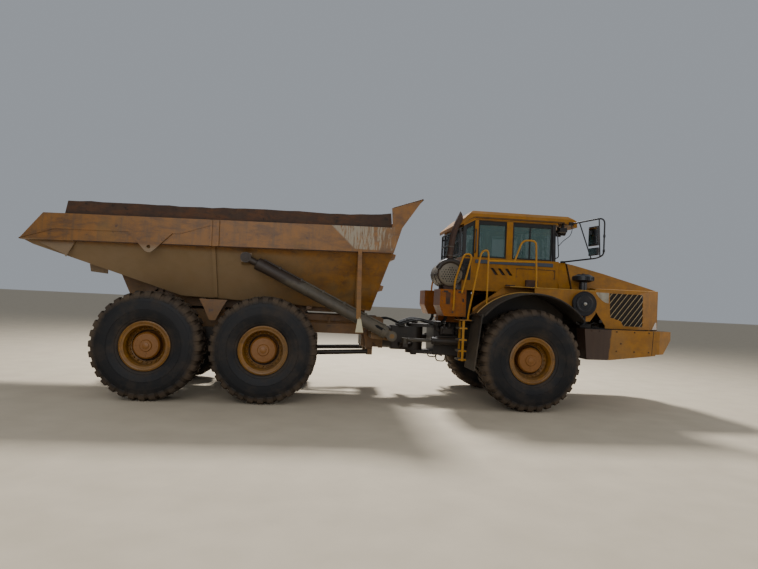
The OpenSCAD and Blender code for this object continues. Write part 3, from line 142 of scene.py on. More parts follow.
# paint, then fading, worn blotches, dirt runs, dust from below and on top faces, rust spots
def weatheredLayers(tree, look):
    coords = addNode(tree, "TexCoord")
    place = coords.outputs["Object"]
    split = addNode(tree, "SeparateXYZ", {0: place})
    facing = addNode(tree, "SeparateXYZ", {0: coords.outputs["Normal"]})
    broad = addNode(tree, "TexNoise", {"Scale": 1.1, "Detail": 7, "Roughness": 0.62, "Vector": place})
    middle = addNode(tree, "TexNoise", {"Scale": look.get("middle", 7.0), "Detail": 9, "Roughness": 0.66,
                                        "Vector": place})
    fine = addNode(tree, "TexNoise", {"Scale": 55.0, "Detail": 6, "Roughness": 0.7, "Vector": place})
    stretched = addNode(tree, "Mapping", {"Scale": (14.0, 14.0, 0.9), "Vector": place})
    runs = addNode(tree, "TexNoise", {"Scale": 1.0, "Detail": 5, "Roughness": 0.6, "Vector": stretched})
    blotches = addNode(tree, "Mapping", {"Scale": (2.6, 2.6, 6.5), "Vector": place})
    blotches = addNode(tree, "TexNoise", {"Scale": 1.0, "Detail": 11, "Roughness": 0.74, "Distortion": 0.4,
                                          "Vector": blotches})
    low = addNode(tree, "MapRange", {"From Min": look.get("dustHigh", 2.4),
                                     "From Max": look.get("dustLow", 0.6),
                                     "To Max": look.get("dustBelow", 0.7), "Value": split.outputs["Z"]})
    flat = addNode(tree, "MapRange", {"From Min": 0.5, "From Max": 0.98, "To Max": look.get("dustOnTop", 0.6),
                                      "Value": facing.outputs["Z"]})
    patch = addNode(tree, "MapRange", {"From Min": 0.42, "From Max": 0.66, "To Min": -0.35,
                                       "To Max": look.get("patchHigh", 0.35), "Value": broad})
    dust = addNode(tree, "Math", {"operation": "ADD", 0: low, 1: flat})
    dust = addNode(tree, "Math", {"operation": "ADD", "use_clamp": True, 0: dust, 1: patch})
    rustStart = look.get("rustStart", 0.66)
    coats = {
        "faded": addNode(tree, "MapRange", {"From Min": 0.35, "From Max": 0.68, "Value": middle}),
        "under": addNode(tree, "MapRange", {"From Min": 0.47, "From Max": 0.62,
                                            "To Max": look.get("mottle", 0.12), "Value": blotches}),
        "grime": addNode(tree, "MapRange", {"From Min": 0.5, "From Max": 0.78,
                                            "To Max": look.get("runs", 0.45), "Value": runs}),
        "dust": dust,
        "rust": addNode(tree, "MapRange", {"From Min": rustStart, "From Max": rustStart + 0.05,
                                           "Value": middle}),
    }
    color = look["paint"]
    for coat, mask in coats.items():
        color = addNode(tree, "MixRGB", {"Fac": mask, "Color1": color,
                                         "Color2": look.get(coat) or usualCoats[coat]})
    rough = addNode(tree, "MapRange", {"To Min": look.get("gloss", 0.42), "To Max": 0.9, "Value": dust})
    height = addNode(tree, "Math", {"operation": "MULTIPLY_ADD", 0: middle, 1: 0.4, 2: fine})
    return {"place": place, "split": split, "broad": broad, "middle": middle, "runs": runs, "color": color,
            "rough": rough, "height": height}


def weatheredPaint(name, look, overlay=None):
    material, tree = newTree(name)
    layers = weatheredLayers(tree, look)
    color = overlay(tree, layers, look) if overlay else layers["color"]
    finishShader(tree, color, layers["rough"], layers["height"], look.get("shader"),
                 look.get("bumpDepth", 0.002), look.get("bump", 0.35))
    return material


looks = {
    # enamel sprayed on steel sheet: semi-gloss, faded, dust held on the top faces
    "cabEnamel": {"paint": "#9b670c", "faded": "#825817", "dust": "#7d6338", "mottle": 0.22,
                  "dustBelow": 0.35, "dustLow": 0.9, "dustHigh": 2.2, "dustOnTop": 0.35, "patchHigh": 0.12,
                  "runs": 0.25, "rustStart": 0.72, "gloss": 0.4, "shader": {"Specular IOR Level": 0.28}},
    # the same enamel on the chassis, under grease and dried mud
    "chassisEnamel": {"paint": "#754b06", "faded": "#5c3c11", "dust": "#675537", "dustBelow": 0.55,
                      "dustLow": 0.4, "dustHigh": 1.9, "patchHigh": 0.4, "runs": 0.55, "rustStart": 0.62,
                      "mottle": 0.4},
    # cast and welded running gear: black paint with oily dust
    "oilyCasting": {"paint": "#1a1511", "faded": "#251e16", "dust": "#483b2d", "dustBelow": 0.45,
                    "dustLow": 0.2, "dustHigh": 1.5, "patchHigh": 0.25, "runs": 0.2, "rustStart": 0.7,
                    "gloss": 0.5},
    # handrail enamel: brighter, worn by hands
    "railEnamel": {"paint": "#b17b00", "faded": "#9d6d0c", "dust": "#8b7243", "dustBelow": 0.2,
                   "dustLow": 0.6, "dustHigh": 1.4, "dustOnTop": 0.1, "patchHigh": 0.1, "runs": 0.2,
                   "rustStart": 0.7, "gloss": 0.36},
    # hot-rolled plate left bare: brown mill rust
    "rustyPlate": {"paint": "#3e2819", "faded": "#2e1e14", "dust": "#4e3a29", "dustBelow": 0.0,
                   "dustOnTop": 0.3, "patchHigh": 0.4, "runs": 0.35, "rust": "#24150d", "rustStart": 0.6,
                   "gloss": 0.75, "middle": 11.0, "mottle": 0.6, "under": "#5c3511"},
    # cylinder steel: grey primer under dry dust
    "dustyCylinder": {"paint": "#4c463b", "faded": "#3e382f", "dust": "#645c4c", "dustBelow": 0.25,
                      "dustLow": 0.8, "dustHigh": 2.2, "dustOnTop": 0.5, "patchHigh": 0.3, "runs": 0.5,
                      "rust": "#312116", "rustStart": 0.64, "gloss": 0.55},
    # white enamel panel with rust weeping over it
    "whiteEnamel": {"paint": "#9d998c", "faded": "#88806e", "dust": "#786747", "dustBelow": 0.2,
                    "grime": "#5c370f", "patchHigh": 0.2, "runs": 0.6, "rustStart": 0.69, "gloss": 0.45},
    # enamel painted bright on rolled edges as a painted highlight
    "edgeHighlightEnamel": {"paint": "#b08a3f", "faded": "#9d7228", "dust": "#8b744a", "dustBelow": 0.2,
                       "patchHigh": 0.2, "runs": 0.2, "rustStart": 0.7, "gloss": 0.35},
    # redder enamel on the boxes behind the cab
    "boxEnamel": {"paint": "#904f00", "faded": "#7a4400", "dust": "#76582c", "dustBelow": 0.3,
                  "dustLow": 0.9, "dustHigh": 2.2, "dustOnTop": 0.4, "patchHigh": 0.15, "runs": 0.55,
                  "rustStart": 0.66, "gloss": 0.4, "mottle": 0.4, "shader": {"Specular IOR Level": 0.25}},
    # blue-black enamel on the pressed lid of the air cleaner
    "cleanerEnamel": {"paint": "#0c0e15", "faded": "#12161e", "dust": "#3d3831", "dustBelow": 0.1,
                      "dustOnTop": 0.4, "patchHigh": 0.1, "runs": 0.12, "rustStart": 0.8, "gloss": 0.36},
    # satin black enamel on thin trim
    "satinBlack": {"paint": "#111114", "faded": "#1b1b1e", "dust": "#584f45", "dustBelow": 0.15,
                   "dustLow": 1.2, "dustHigh": 2.3, "dustOnTop": 0.45, "patchHigh": 0.12, "runs": 0.15,
                   "rustStart": 0.78, "gloss": 0.42},
    # moulded rubber flares and flaps, grey with dust
    "flapRubber": {"paint": "#1e1a17", "faded": "#29241e", "dust": "#594e3d", "dustBelow": 0.55,
                   "dustLow": 0.6, "dustHigh": 1.9, "dustOnTop": 0.5, "patchHigh": 0.3, "runs": 0.35,
                   "rust": "#221912", "rustStart": 0.74, "gloss": 0.75},
    # silencer shield: aluminised steel, dull and heat stained
    "heatShield": {"paint": "#6a6252", "faded": "#5a5244", "dust": "#756a55", "dustBelow": 0.0,
                   "dustOnTop": 0.5, "patchHigh": 0.2, "runs": 0.4, "rust": "#4b2f1b", "rustStart": 0.68,
                   "gloss": 0.5},
    # exhaust pipe: mild steel rusted by heat
    "heatRust": {"paint": "#3e271b", "faded": "#30211b", "dust": "#5a4736", "dustBelow": 0.0,
                 "dustOnTop": 0.3, "patchHigh": 0.3, "runs": 0.4, "rust": "#593113", "rustStart": 0.6,
                 "gloss": 0.7, "middle": 16.0},
    # worn enamel on plate steel, grey dust on the rear belly, a scratched white patch on the rail's front end
    "dumpBodySteel": {"paint": "#855507", "faded": "#714a12", "dust": "#766541", "dustBelow": 0.2,
                      "dustLow": 1.6, "dustHigh": 2.5, "dustOnTop": 0.5, "patchHigh": 0.3, "runs": 0.7,
                      "rustStart": 0.64, "middle": 6.0, "mottle": 0.72, "bumpDepth": 0.004, "bump": 0.45,
                      "belly": ("#725e40", "#836d52"), "patch": "#8f8470"},
}
# the cab's enamel with the usual shine, under what each of these panels adds
sheetEnamel = {**looks["cabEnamel"], "shader": None}
# bumper enamel, worn through to brown rust over its rear third
looks["bumperPaint"] = {**sheetEnamel, "worn": ("#33231b", "#4b382b")}
# fender enamel, with dried mud over the underside of the arch
looks["fenderPaint"] = {**sheetEnamel, "mud": ("#15100b", "#33281b")}
# hood enamel; the grille bars get a painted pale highlight along the middle and painted black shade along
# their edges and in the slots
looks["hoodPaint"] = {**sheetEnamel, "bars": ("#a58f66", "#0c0a08")}
# hoist cylinders: grey primer and dust below; the upper third painted dark brown, partly as painted shadow
# from the body's ledge and partly as brown grease
looks["hoistSteel"] = {**looks["dustyCylinder"], "baked": "#2c2018", "bump": 0.4}
# rim enamel, browner and dustier towards the hub, with a painted near-black shadow ring round the recessed
# hub cap
rimCoat = {"paint": "#84580e", "faded": "#6c4a18", "dust": "#6a5233", "mottle": 0.5, "dustBelow": 0.25,
           "dustLow": 0.3, "dustHigh": 1.4, "dustOnTop": 0.3, "runs": 0.0, "rustStart": 0.64, "middle": 12.0,
           "bump": 0.4, "gap": "#170f08", "hub": "#8f5c1f"}


def bodyLayers(tree, layers, look):
    x, y, z = (layers["split"].outputs[axis] for axis in "XYZ")
    # dust over the lower rear of the sloping side grows rearwards from the cylinder
    wobble = addNode(tree, "Math", {"operation": "MULTIPLY_ADD", 0: layers["broad"], 1: 1.2, 2: -0.6})
    rearward = addNode(tree, "Math", {"operation": "ADD", 0: x, 1: wobble})
    rearMask = addNode(tree, "MapRange", {"From Min": -0.4, "From Max": -1.9, "Value": rearward})
    under = addNode(tree, "MapRange", {"From Min": 2.47, "From Max": 2.40, "Value": z})
    belly = addNode(tree, "Math", {"operation": "MULTIPLY", 0: rearMask, 1: under})
    belly = addNode(tree, "Math", {"operation": "MULTIPLY", 0: belly, 1: 0.93})
    tan = addNode(tree, "MixRGB", {"Fac": layers["middle"], "Color1": look["belly"][0],
                                   "Color2": look["belly"][1]})
    color = addNode(tree, "MixRGB", {"Fac": belly, "Color1": layers["color"], "Color2": tan})
    # white patch on the rail's front end, bounded by a slanting edge, with brown runs through it
    slanted = addNode(tree, "Math", {"operation": "MULTIPLY_ADD", 0: z, 1: 1.08, 2: x})
    outer = addNode(tree, "Math", {"operation": "ABSOLUTE", 0: y})
    torn = addNode(tree, "Mapping", {"Scale": (22.0, 22.0, 3.2), "Vector": layers["place"]})
    torn = addNode(tree, "TexNoise", {"Scale": 1.0, "Detail": 8, "Roughness": 0.7, "Distortion": 0.6,
                                      "Vector": torn})
    forward = addNode(tree, "MapRange", {"From Min": -0.4, "From Max": 0.5, "To Min": -0.045, "To Max": 0.10,
                                         "Value": x})
    torn = addNode(tree, "Math", {"operation": "ADD", 0: torn, 1: forward})
    white = addNode(tree, "MapRange", {"From Min": 0.47, "From Max": 0.56, "To Min": 1.0, "To Max": 0.08,
                                       "Value": torn})
    for source, start, end in ((slanted, 2.46, 2.50), (z, 2.575, 2.59), (outer, 1.44, 1.445),
                               (z, 2.985, 2.970), (x, 0.42, 0.26)):
        limit = addNode(tree, "MapRange", {"From Min": start, "From Max": end, "Value": source})
        white = addNode(tree, "Math", {"operation": "MULTIPLY", 0: white, 1: limit})
    return addNode(tree, "MixRGB", {"Fac": white, "Color1": color, "Color2": look["patch"]})


def wheelRadius(tree, place, centreX):
    moved = addNode(tree, "VectorMath", {"operation": "SUBTRACT", 0: place, 1: (centreX, 0, axleHeight)})
    flat = addNode(tree, "VectorMath", {"operation": "MULTIPLY", 0: moved, 1: (1, 0, 1)})
    return addNode(tree, "VectorMath", {"operation": "LENGTH", 0: flat}).outputs["Value"]


def rimLayers(tree, layers, look):
    radius = wheelRadius(tree, layers["place"], look["centreX"])
    # the ring round the hub cap is painted near black as painted shade of its recess; inside it the hub's own
    # ochre
    gap = addNode(tree, "MapRange", {"From Min": 0.255, "From Max": 0.235, "Value": radius})
    hub = addNode(tree, "MapRange", {"From Min": 0.235, "From Max": 0.215, "To Max": 0.75, "Value": radius})
    color = addNode(tree, "MixRGB", {"Fac": gap, "Color1": layers["color"], "Color2": look["gap"]})
    return addNode(tree, "MixRGB", {"Fac": hub, "Color1": color, "Color2": look["hub"]})


# the upper part of each hoist cylinder is painted dark brown: painted shadow cast by the body's ledge, and
# brown grease
def shadowAndGreaseTop(tree, layers, look):
    wobble = addNode(tree, "Math", {"operation": "MULTIPLY_ADD", 0: layers["middle"], 1: 0.25,
                                    2: layers["split"].outputs["Z"]})
    upper = addNode(tree, "MapRange", {"From Min": 2.08, "From Max": 2.15, "To Max": 0.88, "Value": wobble})
    return addNode(tree, "MixRGB", {"Fac": upper, "Color1": layers["color"], "Color2": look["baked"]})


def bumperWear(tree, layers, look):
    x, y, z = (layers["split"].outputs[axis] for axis in "XYZ")
    slanted = addNode(tree, "Math", {"operation": "MULTIPLY_ADD", 0: z, 1: -0.101, 2: x})
    ragged = addNode(tree, "Math", {"operation": "MULTIPLY_ADD", 0: layers["middle"], 1: 0.09, 2: slanted})
    rear = addNode(tree, "MapRange", {"From Min": 4.185, "From Max": 4.160, "Value": ragged})
    brown = addNode(tree, "MixRGB", {"Fac": layers["runs"], "Color1": look["worn"][0],
                                     "Color2": look["worn"][1]})
    return addNode(tree, "MixRGB", {"Fac": rear, "Color1": layers["color"], "Color2": brown})


def archMud(tree, layers, look):
    radius = wheelRadius(tree, layers["place"], frontAxle)
    inner = addNode(tree, "MapRange", {"From Min": 1.152, "From Max": 1.146, "Value": radius})
    mud = addNode(tree, "MixRGB", {"Fac": layers["middle"], "Color1": look["mud"][0],
                                   "Color2": look["mud"][1]})
    return addNode(tree, "MixRGB", {"Fac": inner, "Color1": layers["color"], "Color2": mud})


def grilleBarHighlightShade(tree, layers, look):
    x, y, z = (layers["split"].outputs[axis] for axis in "XYZ")
    # pale middles of the bars are a painted highlight, the black beside them painted shade along the bar
    # edges and in the slots
    run = addNode(tree, "Math", {"operation": "MULTIPLY_ADD", 0: z, 1: -0.76923, 2: x})
    phase = addNode(tree, "Math", {"operation": "MULTIPLY_ADD", 0: run, 1: 10.3093, 2: -28.5535})
    phase = addNode(tree, "Math", {"operation": "FRACT", 0: phase})
    middle = addNode(tree, "Math", {"operation": "SUBTRACT", 0: phase, 1: 0.83})
    middle = addNode(tree, "Math", {"operation": "ABSOLUTE", 0: middle})
    edge = addNode(tree, "MapRange", {"From Min": 0.055, "From Max": 0.075, "Value": middle})
    # the bars lie below the panel, before the hood's rear edge, behind the nose and above a bent lower line
    rise = addNode(tree, "MapRange", {"From Min": 4.527, "From Max": 4.585, "To Min": 1.597, "To Max": 1.505,
                                      "Value": x})
    slope = addNode(tree, "MapRange", {"From Min": 4.327, "From Max": 4.527, "To Min": 0.058, "To Max": 0.0,
                                       "Value": x})
    floor = addNode(tree, "Math", {"operation": "ADD", 0: rise, 1: slope})
    back = addNode(tree, "Math", {"operation": "MULTIPLY_ADD", 0: z, 1: 0.0556, 2: x})
    outer = addNode(tree, "Math", {"operation": "ABSOLUTE", 0: y})
    mask = addNode(tree, "Math", {"operation": "LESS_THAN", 0: z, 1: 2.081})
    for way, value, limit in (("LESS_THAN", x, 4.945), ("GREATER_THAN", z, floor),
                              ("GREATER_THAN", back, 4.4195), ("GREATER_THAN", outer, 1.045)):
        inside = addNode(tree, "Math", {"operation": way, 0: value, 1: limit})
        mask = addNode(tree, "Math", {"operation": "MULTIPLY", 0: mask, 1: inside})
    bars = addNode(tree, "MixRGB", {"Fac": edge, "Color1": look["bars"][0], "Color2": look["bars"][1]})
    return addNode(tree, "MixRGB", {"Fac": mask, "Color1": layers["color"], "Color2": bars})


# vulcanised rubber: near black walls, brown dust on the tread and the bead
rubberCoat = {"wall": "#0f0f12", "dust": "#554738", "bump": 0.4, "bumpDepth": 0.002,
              "shader": {"Specular IOR Level": 0.35}}


def tyreRubber(name, centreX):
    material, tree = newTree(name)
    place = addNode(tree, "TexCoord").outputs["Object"]
    radius = wheelRadius(tree, place, centreX)
    broad = addNode(tree, "TexNoise", {"Scale": 3.0, "Detail": 8, "Roughness": 0.65, "Vector": place})
    fine = addNode(tree, "TexNoise", {"Scale": 70.0, "Detail": 5, "Roughness": 0.7, "Vector": place})
    tread = addNode(tree, "MapRange", {"From Min": 0.735, "From Max": 0.80, "To Min": 0.06, "To Max": 0.72,
                                       "Value": radius})
    bead = addNode(tree, "MapRange", {"From Min": 0.50, "From Max": 0.42, "To Max": 0.22, "Value": radius})
    rings = addNode(tree, "MapRange", {"From Min": 0.56, "From Max": 0.60, "Value": radius})
    patch = addNode(tree, "MapRange", {"From Min": 0.36, "From Max": 0.66, "To Min": -0.24, "To Max": 0.22,
                                       "Value": broad})
    amount = addNode(tree, "Math", {"operation": "ADD", 0: tread, 1: patch})
    amount = addNode(tree, "Math", {"operation": "ADD", "use_clamp": True, 0: amount, 1: bead})
    color = addNode(tree, "MixRGB", {"Fac": amount, "Color1": rubberCoat["wall"],
                                     "Color2": rubberCoat["dust"]})
    rough = addNode(tree, "MapRange", {"To Min": 0.58, "To Max": 0.95, "Value": amount})
    height = addNode(tree, "Math", {"operation": "MULTIPLY_ADD", 0: rings, 1: 0.3, 2: fine})
    finishShader(tree, color, rough, height, rubberCoat["shader"], rubberCoat["bumpDepth"],
                 rubberCoat["bump"])
    return material


# float glass with a grey-green tint and a dusty film
def tintedGlass():
    material, tree = newTree("tintedGlass")
    place = addNode(tree, "TexCoord").outputs["Object"]
    film = addNode(tree, "TexNoise", {"Scale": 3.0, "Detail": 6, "Vector": place})
    rough = addNode(tree, "MapRange", {"From Min": 0.4, "From Max": 0.7, "To Min": 0.02, "To Max": 0.12,
                                       "Value": film})
    shader = addNode(tree, "BsdfPrincipled", {"Base Color": "#4f6a68", "IOR": 1.45, "Alpha": 0.5,
                                              "Specular IOR Level": 0.8, "Roughness": rough})
    addNode(tree, "OutputMaterial", {"Surface": shader})
    return material


# moulded plastic or a coated part with a slight grain, its hollows painted darker as painted shade
def plainMatte(name, color, rough, grain, settings=None):
    material, tree = newTree(name)
    place = addNode(tree, "TexCoord").outputs["Object"]
    noise = addNode(tree, "TexNoise", {"Scale": grain, "Detail": 6, "Vector": place})
    base = linearColor(color)
    # the grain's colour is darker where its bump is low: grain tone, and painted shade in the hollows
    mixed = addNode(tree, "MixRGB", {"Fac": noise, "Color1": [c * 0.72 for c in base[:3]] + [1.0],
                                     "Color2": base})
    roughness = addNode(tree, "MapRange", {"To Min": rough - 0.08, "To Max": rough + 0.08, "Value": noise})
    finishShader(tree, mixed, roughness, noise, settings, 0.001, 0.25)
    return material


# woven wire mesh, 6 mm pitch drawn at 12 mm so that it shows, its openings painted near black as painted
# shade behind the mesh
def wireMesh(name, pitch):
    material, tree = newTree(name)
    place = addNode(tree, "TexCoord").outputs["Object"]
    waves = [addNode(tree, "TexWave", {"bands_direction": way, "Scale": 0.314 / pitch, "Distortion": 0.3,
                                       "Vector": place}).outputs["Fac"] for way in ("X", "Z")]
    wires = addNode(tree, "Math", {"operation": "MAXIMUM", 0: waves[0], 1: waves[1]})
    dust = addNode(tree, "TexNoise", {"Scale": 4.0, "Detail": 6, "Vector": place})
    lit = addNode(tree, "MapRange", {"From Min": 0.7, "From Max": 1.0, "Value": wires})
    lit = addNode(tree, "Math", {"operation": "MULTIPLY", 0: lit, 1: dust})
    # near black between the wires is painted shade behind the mesh
    color = addNode(tree, "MixRGB", {"Fac": lit, "Color1": "#070605", "Color2": "#4a3a2c"})
    rough = addNode(tree, "MapRange", {"To Min": 0.7, "To Max": 0.95, "Value": dust})
    finishShader(tree, color, rough, wires, None, 0.002, 0.6)
    return material


overlays = {"dumpBodySteel": bodyLayers, "hoistSteel": shadowAndGreaseTop, "bumperPaint": bumperWear,
            "fenderPaint": archMud, "hoodPaint": grilleBarHighlightShade}
plainFinishes = {  # colour, roughness, grain to the metre, shader settings
    "lampGlass": ("#c9ced0", 0.16, 40.0, {"Specular IOR Level": 0.7, "Coat Weight": 0.5}),  # pressed glass
    "mouldedPlastic": ("#1d1d1f", 0.6, 40.0),  # injection-moulded ABS, dull
    "hoseRubber": ("#151413", 0.7, 40.0),  # extruded rubber, near black
    "stripRubber": ("#3d4552", 0.55, 40.0),  # extruded strip, grey-blue
    "seatCloth": ("#2b2d33", 0.85, 260.0, {"Sheen Weight": 0.4}),  # woven cloth, soft sheen
    "beltWebbing": ("#1a1a1c", 0.7, 300.0),  # woven webbing
    "deckGrip": ("#2b2926", 0.9, 160.0),  # gritted grip sheet
    "sootAndShadeBlack": ("#0b0a0a", 0.9, 40.0),  # black for soot in the stack's mouth and painted shade in holes, slots and the mouth, no shine
    "brightZinc": ("#b9b6ae", 0.38, 40.0, {"Metallic": 0.8}),  # zinc-plated steel
    "mirrorGlass": ("#c3c8cc", 0.12, 3.0, {"Metallic": 1.0}),  # silvered glass
    "reflectorPlastic": ("#e2d6ca", 0.22, 40.0, {"Coat Weight": 0.4}),  # moulded acrylic, pale
    "redLens": ("#8c1712", 0.2, 40.0, {"Coat Weight": 0.5}),  # moulded acrylic
    "amberLens": ("#b5611a", 0.2, 40.0, {"Coat Weight": 0.5}),  # moulded acrylic
    "creamRubber": ("#c9c0a0", 0.75, 9.0),  # stiff cream rubber, blotched
}
shared = {name: weatheredPaint(name, look, overlays.get(name)) for name, look in looks.items()}
shared.update({name: plainMatte(name, *row) for name, row in plainFinishes.items()})
shared["grilleMesh"] = wireMesh("grilleMesh", 0.012)
shared["tintedGlass"] = tintedGlass()
for axle, x in wheelX.items():
    rimName, tyreName = "rimEnamel_" + axle, "tyreRubber_" + axle
    shared[rimName] = weatheredPaint(rimName, {**rimCoat, "centreX": x}, rimLayers)
    shared[tyreName] = tyreRubber(tyreName, x)

nodeFinish = {
    "rear_frame": "chassisEnamel", "rear_axles": "oilyCasting", "bogie_beams": "oilyCasting",
    "hitch": "oilyCasting",
    "dump_body": "dumpBodySteel", "body_rails": "dumpBodySteel", "body_sills": "chassisEnamel",
    "sideboards": "rustyPlate", "headlamps": "lampGlass",
    "front_frame": "oilyCasting", "front_axle_tube": "oilyCasting", "powertrain": "oilyCasting",
    "cab_body": "cabEnamel", "cab_posts": "satinBlack", "cab_roof": "cabEnamel", "cab_glass": "tintedGlass",
    "cab_door": "cabEnamel", "door_glass": "tintedGlass", "cab_interior": "mouldedPlastic",
    "seat": "mouldedPlastic",
    "hood": "hoodPaint",
    "bumper": "bumperPaint", "fenders": "fenderPaint", "mud_flaps": "flapRubber", "side_boxes": "boxEnamel",
    "exhaust": "heatRust", "air_cleaner": "cleanerEnamel", "access_rails": "railEnamel",
    "mirrors": "satinBlack",
}
for side in sideSign:
    nodeFinish["steer_barrel_" + side] = "oilyCasting"
    nodeFinish["steer_rod_" + side] = "dustyCylinder"
    nodeFinish["hoist_barrel_" + side] = "hoistSteel"
    nodeFinish["hoist_rod_" + side] = "hoistSteel"
    for axle in wheelX:
        nodeFinish[f"tyre_{axle}_{side}"] = "tyreRubber_" + axle
        nodeFinish[f"rim_{axle}_{side}"] = "rimEnamel_" + axle


def dressNodes():
    for name, node in nodes.items():
        node.data.materials.clear()
        node.data.materials.append(shared[nodeFinish[name]])


dressNodes()
print("stage: materials")


# shaping helpers
placeIn = {
    "xz": lambda a, b, t: Vector((a, t, b)),
    "yz": lambda a, b, t: Vector((t, a, b)),
    "xy": lambda a, b, t: Vector((a, b, t)),
}


def onlySelect(*pieces):
    bpy.ops.object.select_all(action="DESELECT")
    for piece in pieces:
        piece.select_set(True)
    bpy.context.view_layer.objects.active = pieces[0]


def startChain(corners):
    bpy.ops.object.select_all(action="DESELECT")
    bpy.ops.mesh.primitive_plane_add(size=0.02, location=(0, 0, 0))
    bpy.ops.object.mode_set(mode="EDIT")
    bpy.ops.mesh.select_all(action="SELECT")
    bpy.ops.mesh.merge(type="CENTER")
    bpy.ops.transform.translate(value=corners[0])
    for before, after in zip(corners, corners[1:]):
        bpy.ops.mesh.extrude_region_move(TRANSFORM_OT_translate={"value": after - before})
    bpy.ops.mesh.select_all(action="SELECT")
    return bpy.context.object


# turns every face outwards and leaves edit mode
def sealMesh():
    bpy.ops.mesh.select_all(action="SELECT")
    bpy.ops.mesh.normals_make_consistent(inside=False)
    bpy.ops.object.mode_set(mode="OBJECT")


def faceOutwards(piece):
    onlySelect(piece)
    bpy.ops.object.mode_set(mode="EDIT")
    sealMesh()


# a plate cut to an outline in one plane, from one place to another across it
def plate(plane, outline, low, high, bevel, segments=1):
    place = placeIn[plane]
    piece = startChain([place(a, b, low) for a, b in outline])
    bpy.ops.mesh.edge_face_add()
    bpy.ops.mesh.extrude_region_move(TRANSFORM_OT_translate={"value": place(0, 0, high - low)})
    bpy.ops.mesh.select_all(action="SELECT")
    bpy.ops.mesh.bevel(offset=bevel, segments=segments, affect="EDGES")
    sealMesh()
    return piece


def block(low, high, bevel, segments=1):
    outline = [(low[0], low[1]), (high[0], low[1]), (high[0], high[1]), (low[0], high[1])]
    return plate("xy", outline, low[2], high[2], bevel, segments)


axisVectors = {"x": Vector((1, 0, 0)), "y": Vector((0, 1, 0)), "z": Vector((0, 0, 1))}
outVectors = {"x": Vector((0, 0, 1)), "y": Vector((0, 0, 1)), "z": Vector((1, 0, 0))}


# a shape turned on a lathe: rows of radius and place along the axis
def turned(profile, centre, axis, steps):
    along, out, middle = axisVectors[axis], outVectors[axis], Vector(centre)
    piece = startChain([middle + out * r + along * t for r, t in profile])
    bpy.ops.mesh.spin(steps=steps, angle=math.tau, center=middle, axis=along)
    bpy.ops.mesh.select_all(action="SELECT")
    bpy.ops.mesh.remove_doubles(threshold=0.0002)
    sealMesh()
    return piece


def disc(centre, radius, low, high, axis, steps, edge=0.002):
    inner = radius - edge
    profile = [(0, low), (inner, low), (radius, low + edge), (radius, high - edge), (inner, high), (0, high)]
    return turned(profile, centre, axis, steps)


def roundedPath(points, length):
    points = [Vector(p) for p in points]
    path = [points[0]]
    for before, corner, after in zip(points, points[1:], points[2:]):
        start = corner + (before - corner).normalized() * min(length, (before - corner).length * 0.45)
        end = corner + (after - corner).normalized() * min(length, (after - corner).length * 0.45)
        for t in (0, 0.25, 0.5, 0.75, 1):
            path.append(start * (1 - t) ** 2 + corner * 2 * t * (1 - t) + end * t * t)
    return path + [points[-1]]


# a bent pipe, drawn as a curve with a round section and made a mesh
def pipe(points, radius, bend, sides=8):
    data = bpy.data.curves.new("pipe", "CURVE")
    data.dimensions = "3D"
    path = roundedPath(points, bend)
    spline = data.splines.new("POLY")
    spline.points.add(len(path) - 1)
    for point, place in zip(spline.points, path):
        point.co = (*place, 1)
    data.bevel_depth, data.bevel_resolution, data.use_fill_caps = radius, max(0, sides // 2 - 2), True
    piece = bpy.data.objects.new("pipe", data)
    bpy.context.scene.collection.objects.link(piece)
    onlySelect(piece)
    bpy.ops.object.convert(target="MESH")
    bpy.ops.object.mode_set(mode="EDIT")
    bpy.ops.mesh.select_all(action="SELECT")
    bpy.ops.mesh.remove_doubles(threshold=0.0001)
    sealMesh()
    return bpy.context.object


def copyOf(piece, matrix):
    twin = piece.copy()
    twin.data = piece.data.copy()
    bpy.context.scene.collection.objects.link(twin)
    twin.data.transform(matrix)
    return twin


def turnAbout(centre, axis, angle):
    back = Matrix.Translation(-Vector(centre))
    return Matrix.Translation(centre) @ Matrix.Rotation(angle, 4, axisVectors[axis]) @ back


def copiesAround(piece, count, centre, axis="y"):
    return [piece] + [copyOf(piece, turnAbout(centre, axis, math.tau * i / count)) for i in range(1, count)]


def joined(parts, name):
    onlySelect(*parts)
    if len(parts) > 1:
        bpy.ops.object.join()
    piece = bpy.context.object
    piece.name = piece.data.name = name
    return piece


# puts the finish on a piece, rounds its shading and hangs it on its body
def finishPiece(piece, finish, body="front_unit", mirrored=False, smooth=35):
    onlySelect(piece)
    if mirrored:
        mirror = piece.modifiers.new("twin", "MIRROR")
        mirror.use_axis = (False, True, False)
        mirror.use_mirror_merge = False
        bpy.ops.object.modifier_apply(modifier=mirror.name)
        faceOutwards(piece)
    bpy.ops.object.shade_smooth_by_angle(angle=math.radians(smooth))
    piece.data.materials.clear()
    piece.data.materials.append(shared[finish])
    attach(piece, body)
    return piece


# tyres: carcass turned on a lathe, one lug modelled and copied round both shoulders
origin = (0, 0, 0)
tyreLook = {
    "lugs": 32,
    "lugWidth": 0.096,
    "lugTaper": 0.74,
    "lugSkew": 0.05,
    "lugBevel": 0.006,
    "lugRoot": 0.06,
    "side": [(0.324, 0.262), (0.397, 0.274), (0.404, 0.286), (0.428, 0.300), (0.444, 0.303), (0.450, 0.313),
             (0.500, 0.327), (0.558, 0.336), (0.562, 0.333), (0.570, 0.333), (0.574, 0.337), (0.640, 0.3365),
             (0.690, 0.332), (0.694, 0.328), (0.735, 0.322), (0.785, 0.303), (0.815, 0.275), (0.832, 0.225),
             (0.837, 0.110), (0.838, 0.0)],
    "lug": [(0.016, 0.828), (0.016, 0.862), (0.110, 0.8645), (0.215, 0.8640), (0.262, 0.853), (0.292, 0.829),
            (0.309, 0.792), (0.3225, 0.750), (0.316, 0.738), (0.290, 0.790), (0.240, 0.822)],
}


